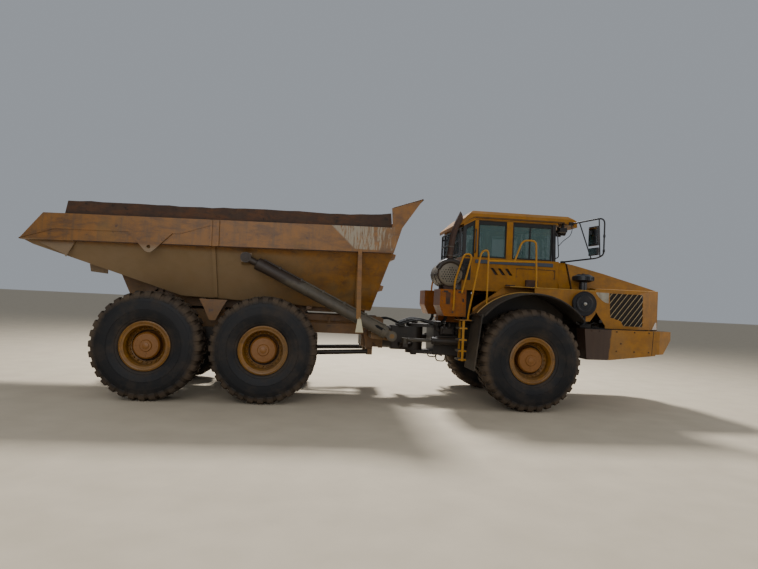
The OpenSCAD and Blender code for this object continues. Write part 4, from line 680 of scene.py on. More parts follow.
def makeTyre():
    look = tyreLook
    half = look["side"]
    whole = half + [(r, -t) for r, t in reversed(half[:-1])] + [half[0]]
    carcass = turned(whole, origin, "y", 96)
    lug = plate("yz", look["lug"], -look["lugWidth"] / 2, look["lugWidth"] / 2, look["lugBevel"])
    bpy.ops.object.mode_set(mode="EDIT")
    bpy.ops.mesh.select_all(action="DESELECT")
    bpy.ops.object.mode_set(mode="OBJECT")
    # the end near the middle of the tread is narrower and lies further round
    for vertex in lug.data.vertices:
        vertex.select = vertex.co.y < look["lugRoot"]
    bpy.ops.object.mode_set(mode="EDIT")
    bpy.ops.transform.resize(value=(look["lugTaper"], 1, 1))
    bpy.ops.transform.translate(value=(look["lugSkew"], 0, 0))
    bpy.ops.object.mode_set(mode="OBJECT")
    step = math.tau / look["lugs"]
    other = copyOf(lug, Matrix.Rotation(step / 2, 4, "Y") @ Matrix.Scale(-1, 4, (0, 1, 0)))
    faceOutwards(other)
    lugs = copiesAround(lug, look["lugs"], origin) + copiesAround(other, look["lugs"], origin)
    return joined([carcass] + lugs, "tyrePattern")


# rim fittings: nuts in the gap, cap bolts, cap boss, drain plug, lock ring and valve
rimLook = {
    "nuts": 24,
    "nutCircle": 0.2745,
    "nut": [(0, 0.112), (0.013, 0.112), (0.013, 0.135), (0.008, 0.140), (0, 0.140)],
    "capBolts": 12,
    "capCircle": 0.158,
    "capBolt": [(0, 0.2065), (0.0095, 0.2065), (0.0095, 0.2205), (0, 0.2205)],
    "lockRing": [(0.352, 0.281), (0.372, 0.2875), (0.380, 0.2985), (0.372, 0.3035), (0.352, 0.2965),
                 (0.352, 0.281)],
    "boss": [(0, 0.230), (0.046, 0.230), (0.050, 0.236), (0.050, 0.244), (0.042, 0.248), (0, 0.249)],
    "plugDrop": -0.118,
    "plug": [(0, 0.205), (0.016, 0.205), (0.016, 0.224), (0, 0.224)],
    "valve": [(0.312, 0.150, 0.06), (0.322, 0.20, 0.062), (0.326, 0.262, 0.064)],
}


def makeRimTrim():
    look = rimLook
    nut = turned(look["nut"], (0, 0, look["nutCircle"]), "y", 6)
    bolt = turned(look["capBolt"], (0, 0, look["capCircle"]), "y", 6)
    ring = turned(look["lockRing"], origin, "y", 72)
    boss = turned(look["boss"], origin, "y", 24)
    plug = turned(look["plug"], (0.0, 0, look["plugDrop"]), "y", 6)
    valve = pipe(look["valve"], 0.006, 0.02)
    nuts = copiesAround(nut, look["nuts"], origin)
    bolts = copiesAround(bolt, look["capBolts"], origin)
    return joined([ring, boss, plug, valve] + nuts + bolts, "rimPattern")


def fitWheels():
    tyrePattern, rimPattern = makeTyre(), makeRimTrim()
    for axle, x in wheelX.items():
        for side, sign in sideSign.items():
            facing = Matrix.Rotation(0 if sign > 0 else math.pi, 4, "Z")
            where = Matrix.Translation((x, sign * wheelY, axleHeight)) @ facing
            tyre = copyOf(tyrePattern, where)
            tyre.name = f"tyreTread_{axle}_{side}"
            finishPiece(tyre, "tyreRubber_" + axle, f"wheel_{axle}_{side}", smooth=30)
            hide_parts(f"tyre_{axle}_{side}")
            trim = copyOf(rimPattern, where)
            trim.name = f"rimTrim_{axle}_{side}"
            finishPiece(trim, "rimEnamel_" + axle, f"wheel_{axle}_{side}", smooth=30)
    for pattern in (tyrePattern, rimPattern):
        bpy.data.objects.remove(pattern)


fitWheels()
print("stage: wheels")


# pieces on the two units are in metres from the front axle, those on the body in the body's own plane
atAxle = Matrix.Translation((frontAxle, 0, 0))
atBody = Matrix.Translation((-3.975, 0, 1.660)) @ Matrix.Rotation(math.radians(-1), 4, "Y")
facings = {"+x": Matrix.Rotation(math.pi / 2, 4, "Y"), "-x": Matrix.Rotation(-math.pi / 2, 4, "Y"),
           "+y": Matrix.Rotation(-math.pi / 2, 4, "X"), "-y": Matrix.Rotation(math.pi / 2, 4, "X"),
           "+z": Matrix.Identity(4), "-z": Matrix.Rotation(math.pi, 4, "X")}


def boltsAt(places, radius, height=0.009):
    washer = [(0, 0), (radius * 1.35, 0), (radius * 1.35, height * 0.3), (radius, height * 0.32),
              (radius, height * 0.9), (radius * 0.8, height), (0, height)]
    bolt = turned(washer, origin, "z", 6)
    copies = [copyOf(bolt, Matrix.Translation(place) @ facings[facing]) for place, facing in places]
    bpy.data.objects.remove(bolt)
    return copies


def assemble(look):
    edge, parts = look.get("edge", 0.003), []
    for low, high in look.get("blocks", []):
        thin = min(b - a for a, b in zip(low, high))
        parts.append(block(low, high, min(edge, thin * 0.3)))
    for plane in ("xz", "yz", "xy"):
        for outline, low, high in look.get(plane, []):
            parts.append(plate(plane, outline, low, high, min(edge, (high - low) * 0.3)))
    for points, radius in look.get("pipes", []):
        parts.append(pipe(points, radius, look.get("bend", 0.05), look.get("sides", 8)))
    for centre, radius, low, high, axis in look.get("discs", []):
        parts.append(disc(centre, radius, low, high, axis, look.get("steps", 20)))
    for profile, centre, axis in look.get("turned", []):
        parts.append(turned(profile, centre, axis, look.get("steps", 20)))
    if "bolts" in look:
        parts += boltsAt(look["bolts"], look.get("boltRadius", 0.012))
    return parts


def makePiece(name, look, finish, body="front_unit", place=None, mirrored=False):
    piece = joined(assemble(look), name)
    piece.data.transform(place or (atBody if body == "dump_body" else atAxle))
    if place:
        faceOutwards(piece)
    return finishPiece(piece, finish, body, mirrored)


circleAxes = {"x": (1, 2), "y": (0, 2), "z": (0, 1)}


# places of bolts on a circle, for boltsAt
def boltCircle(centre, radius, angles, facing):
    first, second = circleAxes[facing[1]]
    places = []
    for angle in angles:
        place = list(centre)
        place[first] += radius * math.cos(angle)
        place[second] += radius * math.sin(angle)
        places.append((place, facing))
    return places


def evenly(count):
    return [math.tau * i / count for i in range(count)]


def frameStrips(x0, x1, z0, z1, y0, y1, width, head):
    return [((x0, y0, z0), (x0 + width, y1, z1)), ((x1 - width, y0, z0), (x1, y1, z1)),
            ((x0 + width, y0, z0), (x1 - width, y1, z0 + width)),
            ((x0 + width, y0, z1 - head), (x1 - width, y1, z1))]


# cab: window rubbers with the tinted head band, groove under the roof, sill strip, louvres, wipers, lamps
cabLook = {
    "rubber": 0.026,
    "headBand": 0.075,
    "sidePanes": [(-0.805, -0.280), (-0.165, 0.580)],
    "paneZ": (2.621, 3.289),
    "doorPane": (-0.086, 0.505, 2.642, 3.208, 0.7795, 0.794, 0.022, 0.05),
    "louvres": 9,
    "louvreRise": 0.36,
    "lampY": (0.40, 0.60),
    "blades": [(-0.42, 0.10), (0.20, 0.62)],
    "screenFoot": (0.694, 2.620),
    "screenLean": 0.082,
}


def screenX(z):
    x, foot = cabLook["screenFoot"]
    return x - (z - foot) * cabLook["screenLean"]


def trimCab():
    look = cabLook
    low, high = look["paneZ"]
    band, head = look["rubber"], look["headBand"]
    right = []
    for x0, x1 in look["sidePanes"]:
        right += frameStrips(x0, x1, low, high, -0.789, -0.7745, band, head)
    right.append(((0.15, -0.787, low), (0.178, -0.7745, high)))
    makePiece("windowRubberRight", {"blocks": right, "edge": 0.004}, "hoseRubber")
    x0, x1 = look["sidePanes"][0]
    left = frameStrips(x0, x1, low, high, 0.7745, 0.789, band, head)
    makePiece("windowRubberLeft", {"blocks": left, "edge": 0.004}, "hoseRubber")
    quarter = {"blocks": [((-1.024, 0.7745, low), (-0.871, 0.787, low + band))],
               "xz": [([(-1.024, 3.120), (-0.871, 3.206), (-0.871, 3.286), (-1.024, 3.200)], 0.7745, 0.787),
                      ([(-0.895, low), (-0.871, low), (-0.871, 3.24), (-0.895, 3.23)], 0.7745, 0.786)]}
    makePiece("quarterRubber", quarter, "hoseRubber", mirrored=True)
    makePiece("doorRubber", {"blocks": frameStrips(*look["doorPane"]), "edge": 0.004}, "hoseRubber",
              "cab_door")
    groove = {"blocks": [((-0.872, 0.8195, 3.3245), (0.80, 0.8215, 3.3345)),
                         ((-0.86, 0.7995, 3.296), (0.655, 0.8025, 3.302))],
              "pipes": [([(-1.165, 0.812, 3.185), (-0.885, 0.818, 3.345), (0.79, 0.818, 3.345)], 0.006)]}
    makePiece("roofGroove", groove, "hoseRubber", mirrored=True)
    sill = {"blocks": [((-0.845, -0.813, 2.512), (0.612, -0.7995, 2.578)),
                       ((-0.845, 0.7995, 2.512), (-0.30, 0.813, 2.578))], "edge": 0.006}
    makePiece("sillStrip", sill, "stripRubber")
    step = look["louvreRise"] / look["louvres"]
    slats = [((-1.070, 0.806, 2.215 + i * step), (-0.930, 0.824, 2.237 + i * step))
             for i in range(look["louvres"])]
    vents = {"blocks": slats + [((-1.078, 0.7995, 2.200), (-0.922, 0.808, 2.588)),
                                ((-0.59, 0.735, 2.30), (-0.12, 0.748, 2.46))], "edge": 0.004}
    makePiece("rearLouvres", vents, "satinBlack", mirrored=True)
    panel = {"blocks": [((-0.078, -0.7925, 2.292), (-0.070, -0.7895, 2.458)),
                        ((0.650, -0.7925, 2.292), (0.658, -0.7895, 2.458)),
                        ((-0.078, -0.7925, 2.450), (0.658, -0.7895, 2.458))],
             "bolts": [((x, -0.790, z), "-y") for x in (-0.055, 0.29, 0.635) for z in (2.305, 2.440)],
             "boltRadius": 0.006}
    makePiece("panelSeam", panel, "satinBlack")
    patch = {"blocks": [((0.095, -0.866, 2.1125), (0.315, -0.7995, 2.255)),
                        ((-0.27, -0.84, 2.1125), (-0.10, -0.7995, 2.150))],
             "bolts": [((x, -0.866, z), "-y") for x in (0.12, 0.29) for z in (2.13, 2.235)], "edge": 0.006}
    makePiece("footPatch", patch, "rustyPlate")
    grab = {"pipes": [([(-0.858, -0.806, 2.70), (-0.858, -0.845, 2.72), (-0.858, -0.845, 3.10),
                        (-0.858, -0.806, 3.12)], 0.011),
                      ([(0.66, -0.79, 2.68), (0.70, -0.83, 2.70), (0.665, -0.83, 3.12),
                        (0.625, -0.79, 3.14)], 0.010)]}
    makePiece("cabGrabs", grab, "satinBlack")
    blades = []
    for y0, y1 in look["blades"]:
        blades += [([(screenX(2.64) + 0.012, y0, 2.625), (screenX(2.70) + 0.034, y0 + 0.02, 2.70),
                     (screenX(3.02) + 0.026, y1 - 0.03, 3.02)], 0.008),
                   ([(screenX(2.76) + 0.017, y1 - 0.10, 2.76), (screenX(3.20) + 0.017, y1 + 0.02, 3.20)],
                    0.007)]
    wiper = {"pipes": blades, "bend": 0.03,
             "discs": [((0, y0, 2.62), 0.022, 0.69, 0.722, "x") for y0, y1 in look["blades"]]}
    makePiece("wipers", wiper, "mouldedPlastic")
    housing, lens = [], []
    for y in look["lampY"]:
        housing.append(([(0, 0.79), (0.045, 0.79), (0.062, 0.83), (0.066, 0.885), (0.066, 0.899),
                         (0.058, 0.899), (0.056, 0.889), (0, 0.889)], (0, y, 3.195), "x"))
        lens.append(([(0, 0.8885), (0.055, 0.8885), (0.05, 0.897), (0, 0.901)], (0, y, 3.195), "x"))
    brackets = [((0.835, y - 0.012, 3.19), (0.865, y + 0.012, 3.333)) for y in look["lampY"]]
    brackets += [((0.72, 0.70, 3.17), (0.86, 0.80, 3.25)), ((0.78, 0.735, 3.24), (0.81, 0.765, 3.333))]
    makePiece("roofLamps", {"turned": housing, "blocks": brackets, "steps": 24}, "satinBlack", mirrored=True)
    makePiece("roofLampGlass", {"turned": lens, "steps": 24}, "lampGlass", mirrored=True)


# operator's seat: two cushions blown up as cloth, on a bellows base with belts and armrests
seatLook = {
    "voxel": 0.008,
    "quality": 4,
    "pressure": 4.0,
    "mostMove": 0.012,
    "frames": 20,
    "cushion": ((-0.606, -0.248, 2.408), (-0.116, 0.248, 2.506)),
    "back": [(-0.690, 2.520), (-0.570, 2.520), (-0.620, 3.068), (-0.676, 3.076), (-0.744, 2.972)],
    "backHalf": 0.228,
    "pleats": 6,
    "seam": (-0.122, -0.600, 0.243),
}


def stuffed(piece, look):
    onlySelect(piece)
    grid = piece.modifiers.new("grid", "REMESH")
    grid.mode, grid.voxel_size = "VOXEL", look["voxel"]
    bpy.ops.object.modifier_apply(modifier=grid.name)
    before = [vertex.co.copy() for vertex in piece.data.vertices]
    cloth = piece.modifiers.new("stuffing", "CLOTH")
    cloth.settings.quality = look["quality"]
    cloth.settings.use_pressure = True
    cloth.settings.uniform_pressure_force = look["pressure"]
    cloth.settings.effector_weights.gravity = 0
    for number in range(1, look["frames"] + 1):
        bpy.context.scene.frame_set(number)
    puffed = piece.evaluated_get(bpy.context.evaluated_depsgraph_get())
    after = [vertex.co.copy() for vertex in puffed.data.vertices]
    piece.modifiers.remove(cloth)
    bpy.context.scene.frame_set(1)
    most = look["mostMove"]
    for vertex, start, end in zip(piece.data.vertices, before, after):
        move = end - start
        vertex.co = start + (move if move.length < most else move.normalized() * most)
    rounding = piece.modifiers.new("round", "SUBSURF")
    rounding.levels = rounding.render_levels = 1
    onlySelect(piece)
    bpy.ops.object.modifier_apply(modifier=rounding.name)
    return piece


def makeSeat():
    look = seatLook
    low, high = look["cushion"]
    half = look["backHalf"]
    cushion = stuffed(joined([block(low, high, 0.036, 4)], "seatCushion"), look)
    back = stuffed(joined([plate("xz", look["back"], -half, half, 0.026, 4)], "seatBack"), look)
    for pad in (cushion, back):
        pad.data.transform(atAxle)
        finishPiece(pad, "seatCloth", smooth=60)
    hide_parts("seat")
    front, rear, side = look["seam"]
    seams = [([(rear, -side, z), (front, -side, z), (front, side, z), (rear, side, z)], 0.0045)
             for z in (2.503, 2.418)]
    seams += [([(-0.584, -0.226, 2.56), (-0.628, -0.226, 3.04), (-0.628, 0.226, 3.04),
                (-0.584, 0.226, 2.56)], 0.0045)]
    makePiece("seatPiping", {"pipes": seams, "bend": 0.05, "sides": 6}, "mouldedPlastic")
    pleats = []
    for i in range(look["pleats"]):
        out, across, up = 0.012 * (i % 2), 0.190 + 0.010 * (i % 2), i * 0.047
        pleats.append(((-0.545 - out, -across, 2.085 + up), (-0.175 + out, across, 2.133 + up)))
    base = {"blocks": pleats + [((-0.565, -0.205, 2.0705), (-0.155, 0.205, 2.088)),
                                ((-0.600, -0.225, 2.368), (-0.130, 0.225, 2.402))], "edge": 0.012,
            "pipes": [([(-0.14, -0.16, 2.38), (-0.09, -0.16, 2.37), (-0.09, 0.16, 2.37),
                        (-0.14, 0.16, 2.38)], 0.008)]}
    makePiece("seatBase", base, "mouldedPlastic")
    arms = {"blocks": [((-0.60, 0.262, 2.66), (-0.27, 0.322, 2.705)),
                       ((-0.69, 0.238, 2.62), (-0.57, 0.268, 2.70))], "edge": 0.012}
    makePiece("seatArms", arms, "mouldedPlastic", mirrored=True)
    belts = {"xz": [([(-0.60, 2.520), (-0.33, 2.5215), (-0.33, 2.5235), (-0.60, 2.522)], -0.235, -0.185),
                    ([(-0.60, 2.520), (-0.40, 2.5215), (-0.40, 2.5235), (-0.60, 2.522)], 0.185, 0.235)]}
    makePiece("seatBelts", belts, "beltWebbing")


# inside the cab: side console with levers, pedals, dash bezels and switches, floor mat
interiorLook = {
    "console": ((-0.42, -0.60, 2.071), (0.22, -0.34, 2.56)),
    "levers": [(-0.05, -0.43), (0.06, -0.50), (0.06, -0.40)],
    "pedals": (-0.20, -0.05, 0.10),
    "buttons": (-0.44, -0.40, -0.36, 0.30, 0.34, 0.38),
    "dashPlace": (0.415, 0, 2.602),
    "dashLean": -38,
    "dials": [(-0.16, 0.045), (-0.05, 0.045), (0.06, 0.03), (0.14, 0.03)],
}


def fitInterior():
    look = interiorLook
    low, high = look["console"]
    levers = [([(x, y, 2.54), (x - 0.01, y, 2.66), (x + 0.02, y, 2.74)], 0.007) for x, y in look["levers"]]
    knobs = [([(0, 2.725), (0.016, 2.73), (0.022, 2.75), (0.018, 2.775), (0, 2.782)], (x + 0.02, y, 0),
              "z") for x, y in look["levers"]]
    gaiters = [([(0, 2.555), (0.040, 2.558), (0.030, 2.572), (0.034, 2.580), (0.020, 2.600), (0, 2.602)],
                (x, y, 0), "z") for x, y in look["levers"]]
    pads = [((-0.30, -0.57, 2.556), (-0.12, -0.37, 2.572)), ((0.12, -0.57, 2.555), (0.20, -0.37, 2.64))]
    console = {"blocks": [(low, high)] + pads, "edge": 0.014, "pipes": levers, "turned": knobs + gaiters}
    makePiece("sideConsole", console, "mouldedPlastic")
    pedals = [([(0.27, 2.10), (0.33, 2.22), (0.345, 2.215), (0.285, 2.095)], y, y + 0.08)
              for y in look["pedals"]]
    stalks = [([(0.30, y + 0.04, 2.16), (0.40, y + 0.04, 2.30)], 0.010) for y in look["pedals"]]
    mat = [((-0.10, -0.34, 2.0705), (0.40, 0.70, 2.079))]
    makePiece("pedals", {"xz": pedals, "pipes": stalks, "blocks": mat}, "hoseRubber")
    bezels = [([(r, 0), (r + 0.008, 0.002), (r + 0.008, 0.012), (r, 0.014), (r - 0.005, 0.006)], (0, y, 0),
               "z") for y, r in look["dials"]]
    tilt = Matrix.Translation(look["dashPlace"]) @ Matrix.Rotation(math.radians(look["dashLean"]), 4, "Y")
    buttons = [((-0.012 + 0.03 * i, y, 0), (0.010 + 0.03 * i, y + 0.028, 0.010))
               for i in (0, 1) for y in look["buttons"]]
    makePiece("dashTrim", {"turned": bezels, "blocks": buttons, "edge": 0.002}, "satinBlack",
              place=atAxle @ tilt)
    rear = {"blocks": [((-1.00, -0.62, 2.071), (-0.80, 0.62, 2.44))], "edge": 0.02,
            "pipes": [([(-0.78, 0.55, 2.60), (-0.70, 0.60, 3.05)], 0.012)]}
    makePiece("rearLocker", rear, "mouldedPlastic")


trimCab()
print("stage: cab trim")
makeSeat()
print("stage: seat")
fitInterior()
print("stage: cab inside")


# hood: white panel, mesh behind the grille, latches, nose reflector, lamp rims
hoodLook = {
    "panel": [(1.303, 2.087), (1.545, 2.087), (1.545, 1.899), (1.484, 1.911), (1.423, 1.944),
              (1.355, 2.004), (1.309, 2.064)],
    "grille": [(1.562, 2.078), (2.107, 2.078), (2.107, 1.526), (1.842, 1.504), (1.784, 1.596),
               (1.586, 1.654)],
    "grilleFront": [(0, 2.078), (0.025, 2.078), (0.090, 1.964), (0.104, 1.534), (0, 1.526)],
    "reflector": [(-0.085, 1.462), (0.085, 1.462), (0.062, 1.592), (0.028, 1.592)],
    "lampZ": (1.660, 1.810),
    "lampY": 0.535,
    "taper": ((2.107, 1.0885, 0), -9.35),
    "corner": ((2.516, -0.954, 0), -57.4),
    "seal": [(0.957, 0.838, 2.12), (0.957, 0.838, 2.168), (0.957, 0.60, 2.615), (0.957, -0.60, 2.615),
             (0.957, -0.838, 2.168), (0.957, -0.838, 2.12)],
    "lowSeal": [(1.31, 1.093), (2.10, 1.093), (2.35, 1.055), (2.59, 0.900)],
    "lowSealZ": 1.453,
}


def turnedAt(place, degrees):
    return atAxle @ Matrix.Translation(place) @ Matrix.Rotation(math.radians(degrees), 4, "Z")


def trimHood():
    look = hoodLook
    makePiece("whitePanel", {"xz": [(look["panel"], 1.0995, 1.1018)]}, "whiteEnamel", "hood", mirrored=True)
    makePiece("grilleMesh", {"xz": [(look["grille"], 1.0865, 1.0885)]}, "grilleMesh", "hood", mirrored=True)
    makePiece("grilleMeshFront", {"xz": [(look["grilleFront"], -0.002, 0)]}, "grilleMesh", "hood",
              place=turnedAt(*look["taper"]), mirrored=True)
    makePiece("noseScreen", {"blocks": [((2.664, -0.47, 1.545), (2.672, 0.47, 1.990))]}, "grilleMesh", "hood")
    makePiece("noseReflector", {"yz": [(look["reflector"], -0.002, 0.004)]}, "reflectorPlastic", "hood",
              place=turnedAt(*look["corner"]), mirrored=True)
    rim = [(0.060, 2.712), (0.070, 2.712), (0.070, 2.720), (0.064, 2.726), (0.060, 2.722), (0.060, 2.712)]
    rims = [(rim, (0, look["lampY"], z), "x") for z in look["lampZ"]]
    seat = [((2.694, look["lampY"] - 0.085, 1.575), (2.7065, look["lampY"] + 0.085, 1.895))]
    makePiece("headlampRims", {"turned": rims, "blocks": seat, "steps": 32, "edge": 0.004}, "satinBlack",
              "hood", mirrored=True)
    latch = {"discs": [((1.400, 0, 1.570), 0.030, 1.0995, 1.108, "y"),
                       ((1.400, 0, 1.570), 0.014, 1.107, 1.118, "y")],
             "blocks": [((1.385, 1.107, 1.564), (1.415, 1.121, 1.576))], "edge": 0.002}
    makePiece("hoodLatches", latch, "satinBlack", "hood", mirrored=True)
    low = [([(x, sign * y, look["lowSealZ"]) for x, y in look["lowSeal"]], 0.007) for sign in (1, -1)]
    makePiece("hoodSeal", {"pipes": [(look["seal"], 0.008)] + low, "bend": 0.04}, "hoseRubber", "hood")
    handle = {"pipes": [([(1.62, 0.30, 2.452), (1.63, 0.30, 2.500), (1.76, 0.30, 2.470),
                          (1.76, 0.30, 2.412)], 0.010)], "bend": 0.03}
    makePiece("hoodHandles", handle, "satinBlack", "hood", mirrored=True)


# bumper: joint line before the nose, tow pin, steps in the nose, bolts
bumperLook = {
    "seam": [(2.300, 1.4405), (2.310, 1.4405), (2.284, 1.015), (2.274, 1.015)],
    "boltX": (1.16, 1.30, 1.62, 1.95, 2.22),
}


def trimBumper():
    look = bumperLook
    strip = {"xz": [(look["seam"], 1.2792, 1.2815)]}
    makePiece("bumperSeam", strip, "hoseRubber", mirrored=True)
    pin = {"turned": [([(0, 1.4395), (0.052, 1.4395), (0.052, 1.446), (0.028, 1.448), (0.028, 1.462),
                        (0.034, 1.465), (0.034, 1.471), (0, 1.474)], (2.745, 0, 0), "z")],
           "discs": [((2.700, 0, 1.30), 0.035, y, y + 0.02, "y") for y in (0.30, -0.32)],
           "blocks": [((2.765, -0.98 + 0.30 * i, 1.409), (2.783, -0.80 + 0.30 * i, 1.431))
                      for i in range(6)], "steps": 28, "edge": 0.004}
    makePiece("towPin", pin, "dustyCylinder")
    bolts = {"bolts": [((x, 1.280, 1.405), "+y") for x in look["boltX"]] +
             [((x, 1.280, 1.065), "+y") for x in (1.62, 1.95, 2.22)], "boltRadius": 0.011,
             "discs": [((1.70, 0, 1.20), 0.016, 1.2795, 1.285, "y")]}
    makePiece("bumperBolts", bolts, "rustyPlate", mirrored=True)
    tread = [((1.12 + 0.14 * i, 0.965, 1.4395), (1.20 + 0.14 * i, 1.262, 1.4435)) for i in range(8)]
    makePiece("bumperTreads", {"blocks": tread}, "deckGrip", mirrored=True)
    clutter = {"blocks": [((1.06, -1.03, 1.4405), (1.27, -0.78, 1.515)),
                          ((1.30, -0.98, 1.4405), (1.42, -0.80, 1.488))],
               "discs": [((1.12, -0.97, 0), 0.052, 1.513, 1.562, "z"),
                         ((1.22, -0.93, 0), 0.036, 1.513, 1.580, "z")],
               "pipes": [([(1.07, -1.00, 1.49), (1.00, -1.00, 1.52), (0.98, -0.98, 1.62),
                           (0.96, -0.93, 1.66)], 0.017),
                         ([(1.27, -0.96, 1.50), (1.34, -0.99, 1.54), (1.42, -0.98, 1.52),
                           (1.46, -0.90, 1.47)], 0.016),
                         ([(1.24, -0.86, 1.50), (1.30, -0.86, 1.60), (1.40, -0.86, 1.56),
                           (1.47, -0.84, 1.46)], 0.013)], "edge": 0.008}
    makePiece("valveClutter", clutter, "oilyCasting")


# fenders: grip on the decks, rolled lips, heads along the rubber flares
fenderLook = {
    "arch": 1.150,
    "flare": 1.1215,
    "lip": 0.010,
    "boltAngles": range(46, 136, 8),
    "boltY": 1.200,
}


def archPath(radius, y, first, last, step=4):
    return [(math.cos(math.radians(a)) * radius, y, axleHeight + math.sin(math.radians(a)) * radius)
            for a in range(first, last + 1, step)]


def trimFenders():
    look = fenderLook
    lips = {"pipes": [(archPath(look["arch"] + 0.001, 1.150, 39, 141), look["lip"]),
                      ([(-0.300, 1.151, 2.108), (1.276, 1.151, 2.108)], look["lip"] * 0.8)], "bend": 0.01}
    # the rolled lips take a brighter enamel as a painted highlight
    makePiece("fenderLips", lips, "edgeHighlightEnamel", mirrored=True)
    beads = {"pipes": [(archPath(look["flare"], 1.595, 39, 140), 0.0150),
                       (archPath(look["flare"] + 0.012, 1.168, 39, 140), 0.010),
                       (archPath(look["flare"] + 0.011, 1.38, 39, 140), 0.007)], "bend": 0.01}
    makePiece("flareBeads", beads, "flapRubber", mirrored=True)
    bolt = boltsAt([((0, look["boltY"], axleHeight + look["flare"] + 0.012), "+z")], 0.011)[0]
    heads = [copyOf(bolt, turnAbout((0, 0, axleHeight), "y", math.radians(90 - angle)))
             for angle in look["boltAngles"]]
    bpy.data.objects.remove(bolt)
    bolts = joined(heads, "flareBolts")
    bolts.data.transform(atAxle)
    finishPiece(bolts, "dustyCylinder", mirrored=True)
    grip = {"blocks": [((-0.28, -1.135, 2.1118), (0.08, -0.825, 2.1155)),
                       ((0.33, -1.135, 2.1118), (0.98, -0.825, 2.1155)),
                       ((-0.28, 0.825, 2.1118), (0.66, 1.10, 2.1155)),
                       ((0.97, 0.825, 2.1118), (1.26, 1.135, 2.1155))], "edge": 0.001}
    makePiece("deckGrip", grip, "deckGrip")
    flaps = {"blocks": [((-0.935, 1.02, 1.575), (-0.905, 1.54, 1.605))],
             "bolts": [((-0.935, y, 1.590), "-x") for y in (1.06, 1.18, 1.30, 1.42, 1.52)],
             "boltRadius": 0.010}
    makePiece("flapClamp", flaps, "oilyCasting", mirrored=True)


# exhaust: perforated shield over the silencer with its holes painted black as shade, black saddle, soot and
# painted shade in the mouth, clamps
exhaustLook = {
    "centre": (-1.320, 2.285),
    "holeRadius": 0.0125,
    "rows": 7,
    "around": 26,
    "firstRow": -0.805,
    "rowPitch": 0.062,
    "bandGap": 0.05,
    "shieldRadius": 0.2182,
    "endPitch": (0.044, 0.040),
    "endReach": 0.160,
    "endFace": -0.9658,
    "endFlat": 0.115,
    "endSlope": 0.125,
    "endDrop": 0.012,
    "mouthLean": -22,
    "mouthStretch": 1.36,
    "mouth": (-1.150, -0.880, 3.3445),
}


def trimExhaust():
    look = exhaustLook
    cx, cz = look["centre"]
    shell = [(0, -0.941), (0, -0.966), (0.120, -0.966), (0.176, -0.959), (0.203, -0.948), (0.213, -0.9405)]
    inner = [(0.2152, -0.838), (0.2185, -0.836), (0.2185, -0.634), (0.2152, -0.632)]
    outer = [(0.2152, -0.596), (0.2185, -0.594), (0.2185, -0.294), (0.2152, -0.292)]
    shield = {"turned": [(shell, (cx, 0, cz), "y"), (inner, (cx, 0, cz), "y"), (outer, (cx, 0, cz), "y")],
              "steps": 56}
    makePiece("silencerShield", shield, "heatShield")
    # the holes are thin black discs on the shield, painted shade where the shield is open
    hole = turned([(0, 0), (look["holeRadius"], 0), (look["holeRadius"] * 0.9, 0.0012), (0, 0.0012)],
                  origin, "z", 8)
    holes = []
    for row in range(look["rows"]):
        y = look["firstRow"] + look["rowPitch"] * row + (look["bandGap"] if row > 2 else 0)
        for i in range(look["around"]):
            angle = math.tau * (i + 0.5 * (row % 2)) / look["around"]
            turn = Matrix.Translation((cx, y, cz)) @ Matrix.Rotation(angle, 4, "Y")
            holes.append(copyOf(hole, turn @ Matrix.Translation((0, 0, look["shieldRadius"]))))
    pitchX, pitchZ = look["endPitch"]
    for row in range(-5, 6):
        for i in range(-6, 7):
            across, up = pitchX * (i + 0.5 * (row % 2)), pitchZ * row
            reach = math.hypot(across, up)
            if reach < look["endReach"]:
                depth = look["endFace"] + max(0, reach - look["endFlat"]) * look["endSlope"]
                spot = Matrix.Translation((cx + across, depth, cz + up - look["endDrop"]))
                holes.append(copyOf(hole, spot @ facings["-y"]))
    bpy.data.objects.remove(hole)
    dots = joined(holes, "shieldHoles")
    dots.data.transform(atAxle)
    finishPiece(dots, "sootAndShadeBlack")
    rolls = [([(cx + 0.232 * math.cos(math.radians(a)), y, cz + 0.232 * math.sin(math.radians(a)))
               for a in range(20, 161, 7)], 0.046) for y in (-0.935, -0.885)]
    makePiece("silencerSaddle", {"pipes": rolls, "bend": 0.01, "sides": 14}, "oilyCasting")
    # a black disc in the stack's mouth: soot, and painted shade inside the pipe
    mouth = disc(origin, 0.0475, 0.0, 0.002, "x", 24, 0.0005)
    lean = Matrix.Rotation(math.radians(look["mouthLean"]), 4, "Y")
    stretch = Matrix.Scale(look["mouthStretch"], 4, (0, 0, 1))
    mouth.data.transform(atAxle @ Matrix.Translation(look["mouth"]) @ lean @ stretch)
    mouth.name = mouth.data.name = "stackMouth"
    finishPiece(mouth, "sootAndShadeBlack")
    clamp = {"turned": [([(0.0545, z), (0.064, z), (0.064, z + 0.022), (0.0545, z + 0.022)],
                         (x, -0.880, 0), "z") for x, z in ((-1.336, 2.60), (-1.322, 2.76))],
             "blocks": [((-1.40, -0.892, 2.602), (-1.36, -0.868, 2.620))],
             "bolts": [((-1.32, y, 2.512), "+z") for y in (-0.62, -0.28)], "steps": 28}
    makePiece("stackClamps", clamp, "dustyCylinder")
    bands = {"bolts": [((cx + dx, y + 0.015, cz), facing) for y in (-0.910, -0.630, -0.290)
                       for dx, facing in ((-0.221, "-x"), (0.221, "+x"))],
             "pipes": [([(-1.105, y + 0.015, 2.34), (-1.06, y + 0.015, 2.30), (-1.06, y + 0.015, 2.06)],
                        0.012) for y in (-0.630, -0.290)]}
    makePiece("silencerBands", bands, "dustyCylinder")


# air cleaner: ring and rib on the pressed lid, its rim, clamp bands, wing nut, fins of the mushroom, foot
cleanerLook = {"centre": (1.040, 0, 1.870), "fins": 30, "neck": (1.100, -1.000)}


